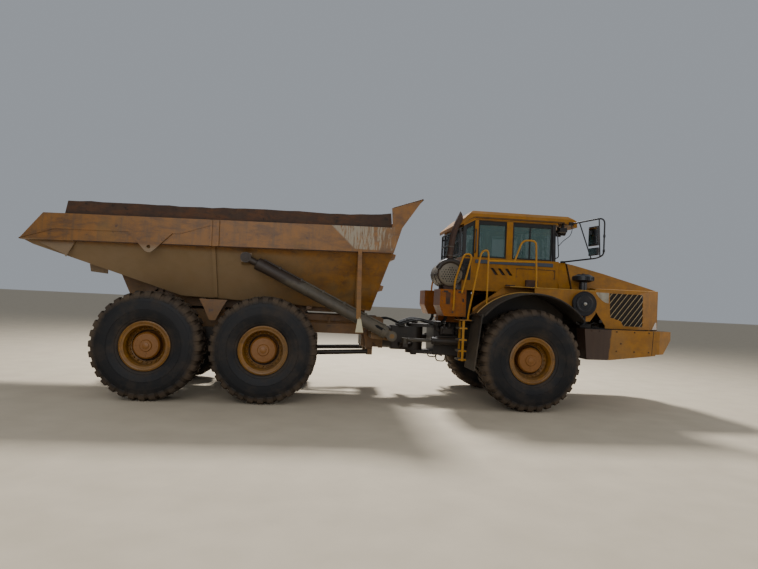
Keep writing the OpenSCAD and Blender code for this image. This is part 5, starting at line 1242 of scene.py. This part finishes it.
def trimCleaner():
    look = cleanerLook
    c = look["centre"]
    lid = [(0.120, -1.2395), (0.126, -1.2425), (0.140, -1.2425), (0.146, -1.2395)]
    rim = [(0.196, -1.224), (0.204, -1.231), (0.213, -1.2305), (0.219, -1.224), (0.219, -1.205),
           (0.213, -1.200), (0.196, -1.200)]
    bands = [[(0.1995, y), (0.206, y), (0.206, y + 0.018), (0.1995, y + 0.018)] for y in (-1.185, -1.165)]
    ribs = [[(0.060, -1.2395), (0.064, -1.243), (0.072, -1.243), (0.076, -1.2395)]]
    rings = [(profile, c, "y") for profile in [lid, rim] + bands + ribs]
    foot = [((1.055, -1.165, 1.500), (1.095, -1.125, 1.690)),
            ((1.020, -1.185, 1.4925), (1.130, -1.095, 1.508))]
    makePiece("cleanerRings", {"turned": rings, "blocks": foot, "steps": 64}, "cleanerEnamel")
    nut = [([(0, -1.239), (0.030, -1.240), (0.026, -1.249), (0.014, -1.252), (0.012, -1.266), (0, -1.268)],
            c, "y")]
    wings = [((1.008, -1.263, 1.864), (1.072, -1.255, 1.876))]
    makePiece("wingNut", {"turned": nut, "blocks": wings, "steps": 20}, "brightZinc")
    x, y = look["neck"]
    fin = block((x - 0.004, y + 0.182, 2.296), (x + 0.004, y + 0.1905, 2.354), 0.001)
    fins = copiesAround(fin, look["fins"], (x, y, 0), "z")
    top = turned([(0, 2.3895), (0.118, 2.3895), (0.112, 2.398), (0.030, 2.404), (0.026, 2.414),
                  (0, 2.415)], (x, y, 0), "z", 40)
    clamp = turned([(0.0675, 2.150), (0.074, 2.150), (0.074, 2.168), (0.0675, 2.168)], (x, y, 0), "z", 32)
    mushroom = joined([top, clamp] + fins, "mushroomFins")
    mushroom.data.transform(atAxle)
    finishPiece(mushroom, "cleanerEnamel")
    duct = {"pipes": [([(1.04, -0.845, 1.87), (1.04, -0.70, 1.87), (1.12, -0.55, 1.90),
                        (1.30, -0.40, 1.86)], 0.060)], "bend": 0.12, "sides": 12}
    makePiece("intakeDuct", duct, "hoseRubber")


# boxes behind the cab: doors, hinges, latches, filler, the dark rusted square
def trimBoxes():
    door = {"xz": [([(-1.478, 1.74), (-1.408, 1.565), (-1.050, 1.565), (-1.050, 1.985), (-1.478, 1.985)],
                    0.9998, 1.004)], "edge": 0.0015}
    makePiece("boxDoors", door, "boxEnamel", mirrored=True)
    square = {"xz": [([(-1.398, 1.748), (-1.318, 1.745), (-1.316, 1.955), (-1.396, 1.957)], 1.0035,
                      1.0065)], "edge": 0.002}
    makePiece("rustedSquare", square, "rustyPlate", mirrored=True)
    fittings = {"blocks": [((-1.10, 1.0035, 1.80), (-1.075, 1.014, 1.86)),
                           ((-1.44, 1.0035, 1.955), (-1.36, 1.012, 1.985)),
                           ((-1.18, 1.0035, 1.955), (-1.10, 1.012, 1.985))],
                "discs": [((-1.27, 0, 1.612), 0.016, 1.0035, 1.012, "y"),
                          ((-1.10, 0, 1.60), 0.008, 1.0035, 1.010, "y"),
                          ((-1.16, 0.60, 0), 0.055, 2.0095, 2.035, "z"),
                          ((-1.16, 0.60, 0), 0.038, 2.034, 2.050, "z")],
                "bolts": [((x, 1.004, z), "+y") for x in (-1.46, -1.07) for z in (1.80, 1.96)],
                "boltRadius": 0.007}
    makePiece("boxFittings", fittings, "satinBlack", mirrored=True)
    lines = {"pipes": [([(-1.30, y, 1.545), (-1.30, y, 1.47), (-1.36, y - 0.05, 1.40),
                         (-1.38, 0.385, 1.32)], 0.014) for y in (0.52, 0.57, 0.62, 0.67)] +
             [([(-1.10, 0.55, 1.545), (-1.10, 0.55, 1.49), (-0.98, 0.50, 1.46), (-0.80, 0.40, 1.44)],
               0.016)]}
    makePiece("tankHoses", lines, "hoseRubber", mirrored=True)


# steps and rails: toothed treads, feet with bolts, mirror glasses
railLook = {"treadZ": (0.814, 0.964, 1.154, 1.354), "teeth": 9,
            "feet": [(0.180, -1.130), (0.700, 1.130), (0.940, 1.130)],
            "glasses": [("mirrorGlassUpper", (1.160, 1.230, 0), -9.46, 2.916, 3.224),
                        ("mirrorGlassLower", (1.165, 1.230, 0), -7.1, 2.742, 2.850)]}


def trimRails():
    look = railLook
    teeth = [((-1.166, 0.918 + 0.028 * i, z - 0.0002), (-1.034, 0.926 + 0.028 * i, z + 0.006))
             for z in look["treadZ"] for i in range(look["teeth"])]
    lips = [((-1.1745, 0.902, z - 0.026), (-1.1695, 1.158, z + 0.005)) for z in look["treadZ"]]
    makePiece("stepTreads", {"blocks": teeth + lips, "edge": 0.0015}, "dustyCylinder", mirrored=True)
    feet = {"discs": [((x, y, 0), 0.036, 2.1125, 2.121, "z") for x, y in look["feet"]],
            "bolts": [((x + dx, y, 2.121), "+z") for x, y in look["feet"] for dx in (-0.026, 0.026)],
            "boltRadius": 0.005}
    makePiece("railFeet", feet, "railEnamel")
    lower = {"discs": [((-1.020, 1.130, 0), 0.036, 1.4923, 1.501, "z")],
             "blocks": [((-1.275, 1.0004, 1.64), (-1.235, 1.0045, 1.70)),
                        ((-0.725, 1.118, 1.757), (-0.675, 1.142, 1.777))],
             "bolts": [((-1.255, 1.0045, 1.650), "+y"), ((-1.255, 1.0045, 1.692), "+y")],
             "boltRadius": 0.006}
    makePiece("railBrackets", lower, "railEnamel", mirrored=True)
    for name, place, angle, low, high in look["glasses"]:
        glass = {"blocks": [((-0.0235, -0.112, low), (-0.0205, 0.112, high))]}
        makePiece(name, glass, "mirrorGlass", place=turnedAt(place, angle), mirrored=True)
    clips = {"discs": [((1.32, 1.29, 0), 0.020, z, z + 0.05, "z") for z in (3.05, 2.79)],
             "pipes": [([(0.91, 0.845, 3.30), (0.93, 0.86, 3.22), (0.90, 0.84, 3.10), (0.80, 0.80, 3.02),
                         (0.70, 0.785, 2.90)], 0.006)]}
    makePiece("mirrorClips", clips, "mouldedPlastic", mirrored=True)


trimHood()
trimBumper()
trimFenders()
print("stage: hood, bumper and fenders")
trimExhaust()
trimCleaner()
trimBoxes()
trimRails()
print("stage: exhaust, air cleaner, boxes and rails")


# hoses over the steering joint and the roll joint, and what hangs about the front frame
steerRoute = [(-1.300, 1, 0), (-1.470, 1.2, 0.035), (-1.640, 1.55, 0.10), (-1.800, 1.55, 0.115),
              (-1.960, 1.2, 0.05), (-2.080, 1, 0.01)]  # x, spread across, rise
rollRoute = [(-2.060, 1, -0.02), (-2.160, 1.1, 0.03), (-2.300, 1.2, 0.08), (-2.440, 1.15, 0.05),
             (-2.560, 1, 0)]
hoseLook = {
    "runs": [  # name, places across the joint, route, radius, bodies, ends of the bend
        ("steerHoses", [(0.13, 1.330), (0.18, 1.345), (0.23, 1.325), (-0.14, 1.335), (-0.19, 1.345),
                        (-0.24, 1.320)], steerRoute, 0.017, ("front_unit", "hitch"), (-1.46, -1.98)),
        ("rollHoses", [(0.10, 1.355), (0.15, 1.365), (-0.11, 1.355), (-0.16, 1.365)],
         rollRoute, 0.0153, ("hitch", "rear_unit"), (-2.14, -2.44)),
    ],
    "bendZ": 1.3,
}


def placeHoses():
    look = hoseLook
    for name, places, route, radius, bodies, ends in look["runs"]:
        pipes = [([(x, y * spread, z + rise) for x, spread, rise in route], radius) for y, z in places]
        blended(name, pipes, bodies)
    boots = {"turned": [([(0.165, -1.972), (0.172, -1.975), (0.172, -1.990), (0.165, -1.993)],
                         (0, 0, 1.080), "x")],
             "bolts": boltCircle((-1.76, 0, 1.3002), 0.115, (0.6, 1.9, 3.1, 4.3, 5.6), "+z"),
             "blocks": [((-2.10, -0.26, 1.300), (-1.98, 0.26, 1.335))], "steps": 40, "edge": 0.006}
    makePiece("hoseBridge", boots, "oilyCasting", "hitch")
    glands = {"turned": [([(0.2055, -2.4215), (0.222, -2.4215), (0.222, -2.44), (0.2055, -2.441)],
                          (0, 0, 1.080), "x")],
              "bolts": boltCircle((-2.4205, 0, 1.080), 0.170, evenly(12), "+x"), "steps": 48,
              "boltRadius": 0.011}
    makePiece("collarRing", glands, "chassisEnamel", "rear_unit")


def blended(name, pipes, bodies):
    piece = joined(assemble({"pipes": pipes, "bend": 0.09, "sides": 10}), name)
    piece.data.transform(atAxle)
    finishPiece(piece, "hoseRubber", bodies[0])
    piece.parent = None
    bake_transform(piece)


frameLook = {"valveY": (0.3702, 0.500), "gearbox": (-0.72, 1.13), "coverRadius": 0.19}


def fitFrontFrame():
    low, high = frameLook["valveY"]
    for side, sign in sideSign.items():
        valve = {"blocks": [((-1.36, low, 1.185), (-1.10, high, 1.33)),
                            ((-1.33, high - 0.002, 1.20), (-1.13, high + 0.035, 1.31)),
                            ((-1.06, low, 1.185), (-0.90, low + 0.07, 1.40)),
                            ((-1.42, low, 1.395), (-0.88, low + 0.055, 1.4185))],
                 "discs": [((-0.975, 0.49, 0), 0.052, 1.185, 1.29, "z"),
                           ((-0.975, 0.49, 0), 0.058, 1.28, 1.335, "z"),
                           ((-1.29, 0.52, 0), 0.030, 1.33, 1.40, "z"),
                           ((-1.20, 0.52, 0), 0.030, 1.33, 1.40, "z")],
                 "pipes": [([(-1.36, 0.46, 1.26), (-1.42, 0.46, 1.26), (-1.44, 0.40, 1.34),
                             (-1.44, 0.26, 1.38)], 0.013),
                           ([(-1.10, 0.47, 1.25), (-1.05, 0.47, 1.26), (-1.0, 0.48, 1.26)], 0.012),
                           ([(-1.40, 0.385, 0.83), (-1.40, 0.40, 0.70), (-1.24, 0.40, 0.69),
                             (-1.22, 0.385, 0.82)], 0.011),
                           ([(-0.88, 0.395, 1.395), (-0.40, 0.395, 1.30), (0.30, 0.395, 1.30),
                             (0.80, 0.395, 1.20)], 0.012)],
                 "bolts": [((x, high + 0.035, z), "+y") for x in (-1.31, -1.15) for z in (1.22, 1.29)] +
                 [((x, 0.3700, z), "+y") for x in (-1.38, -1.24, -0.80, -0.62)
                  for z in (1.36, 0.86 if x < -1 else 1.24)], "edge": 0.006, "boltRadius": 0.013}
        makePiece("frameFittings_" + side, valve, "oilyCasting",
                  place=atAxle @ Matrix.Scale(sign, 4, (0, 1, 0)))
    x, z = frameLook["gearbox"]
    gearbox = {"discs": [((x, 0, z), frameLook["coverRadius"], 0.249, 0.277, "y")],
               "blocks": [((-0.96, 0.2495, 0.90), (-0.50, 0.262, 0.94)),
                          ((-0.96, 0.2495, 1.30), (-0.50, 0.262, 1.34))],
               "bolts": boltCircle((x, 0.277, z), 0.165, evenly(10), "+y"), "edge": 0.008}
    makePiece("gearboxCovers", gearbox, "oilyCasting", mirrored=True)
    damper = {"pipes": [([(-0.13, 0.455, 0.99), (-0.19, 0.455, 1.24)], 0.042),
                        ([(-0.185, 0.455, 1.22), (-0.215, 0.455, 1.36)], 0.026)],
              "discs": [((-0.125, 0, 0.975), 0.045, 0.425, 0.485, "y"),
                        ((-0.215, 0, 1.37), 0.036, 0.369, 0.485, "y")], "sides": 14}
    makePiece("frontDampers", damper, "dustyCylinder", mirrored=True)


# cylinders: glands, pipe saddles, pin caps with keepers
cylinderLook = {
    "hoistBase": (-2.370, 1.345, 1.170),
    "hoistAngle": 25.717,
    "hoistLength": 2.7193,
    "barrelEnd": 2.5003,
    "steerBase": (-0.600, 0.600, 1.071),
    "steerAngle": 3.247,
    "bands": [[(0.0945, -1.62), (0.0995, -1.615), (0.0995, -1.575), (0.0945, -1.57)],
              [(0.0945, -0.20), (0.104, -0.195), (0.104, -0.13), (0.0945, -0.125)]],
    "saddles": (-0.55, -0.95, -1.35, -1.75, -2.15),
    "slot": [(-0.34, 0.030), (-0.30, 0.052), (-0.16, 0.046), (-0.12, 0.020), (-0.16, 0.002), (-0.30, 0.006)],
    "gland": [(0.0315, -0.929), (0.064, -0.929), (0.067, -0.925), (0.067, -0.885), (0.061, -0.880),
              (0.061, -0.93), (0.0315, -0.938)],
    "steerLine": [(-0.14, 0, 0.060), (-0.14, 0, 0.092), (-0.30, 0, 0.092), (-0.80, 0, 0.080),
                  (-0.86, 0, 0.060)],
}


def fitCylinders():
    look = cylinderLook
    end, length = look["barrelEnd"], look["hoistLength"]
    for side, sign in sideSign.items():
        flip = atAxle @ Matrix.Scale(sign, 4, (0, 1, 0))
        hoist = flip @ Matrix.Translation(look["hoistBase"])
        hoist = hoist @ Matrix.Rotation(math.radians(look["hoistAngle"]), 4, "Y")
        collar = [(0.0575, -end - 0.0095), (0.090, -end - 0.0095), (0.094, -end - 0.016),
                  (0.070, -end - 0.024), (0.0575, -end - 0.024)]
        rings = [(profile, origin, "x") for profile in [collar] + look["bands"]]
        barrel = {"turned": rings, "steps": 40,
                  "blocks": [((x - 0.018, -0.028, 0.088), (x + 0.018, 0.028, 0.130))
                             for x in look["saddles"]],
                  "bolts": [((x, 0, 0.1295), "+z") for x in look["saddles"]], "boltRadius": 0.010,
                  "discs": [((-0.060, 0, -0.030), 0.012, 0.0575, 0.064, "y"),
                            (origin, 0.062, 0.0582, 0.0745, "y")]}
        barrelBody, rodBody = "hoist_barrel_" + side, "hoist_rod_" + side
        makePiece("hoistFittings_" + side, barrel, "hoistSteel", barrelBody, place=hoist)
        # a thin black plate on the barrel's base stands in for the lug slot, as painted shade in the opening
        slot = {"xz": [(look["slot"], 0.080, 0.0975)], "edge": 0.004}
        makePiece("hoistSlot_" + side, slot, "sootAndShadeBlack", barrelBody, place=hoist)
        eye = {"discs": [((-length, 0, 0), 0.056, 0.0582, 0.071, "y"),
                         ((-length, 0, 0), 0.028, 0.070, 0.080, "y")],
               "bolts": boltCircle((-length, 0.071, 0), 0.04, (0.5, 2.6, 4.7), "+y"), "boltRadius": 0.007,
               "steps": 28}
        makePiece("hoistEye_" + side, eye, "hoistSteel", rodBody, place=hoist)
        steer = flip @ Matrix.Translation(look["steerBase"])
        steer = steer @ Matrix.Rotation(math.radians(look["steerAngle"]), 4, "Z")
        gland = {"turned": [(look["gland"], origin, "x")], "pipes": [(look["steerLine"], 0.010)], "steps": 36}
        makePiece("steerFittings_" + side, gland, "oilyCasting", "steer_barrel_" + side, place=steer)


# dump body: boards with a bent top edge, rail joint, weld beads, guide flap, the guard's lip and ribs,
# hinge caps
bodyLook = {
    "boardStart": -0.905,
    "boardEnd": 4.291,
    "boardLow": 1.2343,
    "boardHigh": 1.449,
    "boardIn": 1.320,
    "boardOut": 1.390,
    "waves": 30,
    "waveHeight": 0.014,
    "kink": (4.05, 0.24, 0.035),
    "sags": [(3.3, 0.5, 0.020), (1.1, 0.6, 0.014)],
    "jointRuns": [(-0.74, 1.34), (1.49, 3.73), (3.80, 4.28)],
    "beadRuns": [(3.733, -0.12, 0.007), (3.797, -0.12, 0.007), (1.366, 0.02, 0.006), (1.414, 0.02, 0.006)],
    "bellyTop": 0.80,
    "belly": ((0.840, -0.157), (1.320, 0.810)),
    "flap": [(3.762, -0.262), (3.810, -0.262), (3.858, -0.514), (3.725, -0.514)],
}


def bellySide(w):
    (y0, w0), (y1, w1) = bodyLook["belly"]
    return y0 + (y1 - y0) * (w - w0) / (w1 - w0)


def trimBody():
    look = bodyLook
    start, end = look["boardStart"] + 0.04, look["boardEnd"] - 0.02
    kinkStart, kinkLength, kinkHeight = look["kink"]
    top = []
    for i in range(look["waves"] + 1):
        u = end + (start - end) * i / look["waves"]
        rise = kinkHeight * max(0.0, (u - kinkStart) / kinkLength)
        sag = sum(depth * math.exp(-((u - middle) / spread) ** 2) for middle, spread, depth in look["sags"])
        top.append((u, look["boardHigh"] + rise - sag + random.uniform(-1, 1) * look["waveHeight"] * 0.5))
    outline = [(look["boardStart"], look["boardLow"]), (look["boardEnd"], look["boardLow"])] + top
    boards = makePiece("bentBoards", {"xz": [(outline, look["boardIn"], look["boardOut"])], "edge": 0.004},
                       "rustyPlate", "dump_body", mirrored=True)
    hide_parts("sideboards")
    joint = {"pipes": [([(u0, 1.4512, 0.8095), (u1, 1.4512, 0.8095)], 0.0065)
                       for u0, u1 in look["jointRuns"]],
             "blocks": [((-0.88, 1.30, 1.228), (4.26, 1.326, 1.246)),
                        ((-0.88, 1.384, 1.228), (4.26, 1.400, 1.244))], "edge": 0.004}
    makePiece("railJoint", joint, "rustyPlate", "dump_body", mirrored=True)
    runs = [([(u, bellySide(w) + 0.002, w) for w in (low, look["bellyTop"])], radius)
            for u, low, radius in look["beadRuns"]]
    beads = {"pipes": runs + [([(1.347, 1.452, 0.83), (1.347, 1.452, 1.22)], 0.006),
                              ([(1.492, 1.452, 0.83), (1.492, 1.452, 1.22)], 0.006),
                              ([(0.10, 1.4525, 0.989), (0.76, 1.4525, 0.989)], 0.007),
                              ([(0.820, 0.846, 0.004), (4.015, 0.846, -0.157)], 0.010),
                              ([(0.820, 0.846, 0.004), (-0.60, 0.852, 0.476)], 0.009)]}
    makePiece("bodyWelds", beads, "dumpBodySteel", "dump_body", mirrored=True)
    makePiece("guideFlap", {"xz": [(look["flap"], 1.4535, 1.4625)], "edge": 0.002,
                            "bolts": [((3.786, 1.4675, -0.277), "+y"), ((3.786, 1.4625, -0.30), "+y")],
                            "boltRadius": 0.007}, "creamRubber", "dump_body", mirrored=True)
    guard = {"pipes": [([(4.790, -1.444, 1.722), (4.790, 1.444, 1.722)], 0.016)] +
                      [([(4.780, y, 1.726), (4.300, y, 1.566)], 0.010) for y in (1.442, -1.442)]}
    makePiece("guardLip", guard, "rustyPlate", "dump_body")
    ribs = [([(4.452, 1.240), (4.470, 1.238), (4.805, 1.712), (4.786, 1.716)], y, y + 0.012)
            for y in (-1.1, -0.55, 0.0, 0.55, 1.1)]
    makePiece("guardRibs", {"xz": ribs, "edge": 0.002}, "dumpBodySteel", "dump_body")
    caps = {"discs": [(origin, 0.066, 0.5515, 0.572, "y"), (origin, 0.030, 0.571, 0.583, "y")],
            "bolts": boltCircle((0, 0.572, 0), 0.048, (0.4, 2.5, 4.6), "+y"), "boltRadius": 0.009,
            "steps": 32}
    makePiece("hingeCaps", caps, "oilyCasting", "dump_body", mirrored=True)
    wear = {"pipes": [([(-1.536, -1.445, 0.822), (-1.536, 1.445, 0.822)], 0.012)]}
    makePiece("tailLip", wear, "rustyPlate", "dump_body")


# rear unit: tail lenses, frame bolts, brake chambers and lines, cover bolts on the axles
rearLook = {
    "lens": [(0, -6.9002), (0.044, -6.9002), (0.040, -6.907), (0.012, -6.910), (0, -6.910)],
    "lenses": [("tailLensRed", "redLens", 0.325), ("tailLensAmber", "amberLens", 0.425)],
    "lensZ": 1.370,
    "brake": [(0, 0.420), (0.052, 0.420), (0.064, 0.432), (0.064, 0.492), (0.074, 0.498), (0.074, 0.514),
              (0.064, 0.520), (0.060, 0.560), (0.030, 0.575), (0, 0.575)],
    "axles": (-4.451, -6.271),
    "beamX": -5.361,
}


def fitRearUnit():
    look = rearLook
    for name, finish, y in look["lenses"]:
        lens = {"turned": [(look["lens"], (0, y, look["lensZ"]), "x")], "steps": 28}
        makePiece(name, lens, finish, "rear_unit", mirrored=True)
    rail = {"bolts": [((x, 0.5, z), "+y") for x in (-2.50, -2.62, -4.95, -5.12, -5.60, -5.77)
                      for z in (1.42, 1.22)] +
            [((x, 0.5, 1.42), "+y") for x in (-3.1, -3.5, -3.9, -6.3, -6.6)],
            "pipes": [([(-2.60, 0.515, 1.36), (-3.40, 0.515, 1.34), (-4.20, 0.515, 1.36),
                        (-4.90, 0.515, 1.35)], 0.009),
                      ([(-2.60, 0.515, 1.335), (-3.40, 0.515, 1.315), (-4.30, 0.515, 1.33),
                        (-4.45, 0.515, 1.20), (-4.46, 0.46, 1.05)], 0.009)],
            "blocks": [((-3.42, 0.4995, 1.30), (-3.38, 0.525, 1.40)),
                       ((-4.22, 0.4995, 1.30), (-4.18, 0.525, 1.40))], "boltRadius": 0.015, "edge": 0.004}
    makePiece("railBolts", rail, "chassisEnamel", "rear_unit", mirrored=True)
    brakes = {"turned": [], "pipes": [], "steps": 28}
    for x in look["axles"]:
        brakes["turned"].append((look["brake"], (x + 0.02, 0, 1.070), "y"))
        brakes["pipes"].append(([(x + 0.02, 0.50, 1.14), (x + 0.02, 0.50, 1.20), (x + 0.16, 0.44, 1.22),
                                 (x + 0.30, 0.36, 1.16)], 0.010))
    makePiece("brakeChambers", brakes, "oilyCasting", "rear_unit", mirrored=True)
    covers = {"turned": [([(0.100, x - 0.334), (0.112, x - 0.334), (0.112, x - 0.312), (0.100, x - 0.312)],
                          (0, 0, axleHeight), "x") for x in look["axles"]], "steps": 32}
    makePiece("flangeRings", covers, "oilyCasting", "rear_unit")
    x, z = look["beamX"], 1.010
    beams = {"discs": [((x, 0, z), 0.062, 0.7595, 0.778, "y"), ((x, 0, z), 0.028, 0.777, 0.790, "y")],
             "bolts": boltCircle((x, 0.778, z), 0.046, (0.2, 1.8, 3.3, 4.9), "+y") +
                      [((x, 0.740, 0.90), "+y") for x in (-5.9, -5.7, -5.02, -4.82)], "steps": 32}
    makePiece("beamCaps", beams, "oilyCasting", "rear_unit", mirrored=True)


placeHoses()
fitFrontFrame()
fitCylinders()
print("stage: hoses and cylinders")
trimBody()
fitRearUnit()
print("stage: body and rear unit")


# a wide floor of dry sand
def makeFloor():
    bpy.ops.object.select_all(action="DESELECT")
    bpy.ops.mesh.primitive_plane_add(size=400, location=(0, 0, 0))
    floor = bpy.context.object
    floor.name = "studioFloor"
    material, tree = newTree("sandFloor")
    place = addNode(tree, "TexCoord").outputs["Object"]
    noise = addNode(tree, "TexNoise", {"Scale": 2.0, "Detail": 6, "Vector": place})
    color = addNode(tree, "MixRGB", {"Fac": noise, "Color1": "#b4a68f", "Color2": "#cbbda5"})
    shader = addNode(tree, "BsdfPrincipled", {"Roughness": 0.9, "Base Color": color})
    addNode(tree, "OutputMaterial", {"Surface": shader})
    floor.data.materials.append(material)


makeFloor()
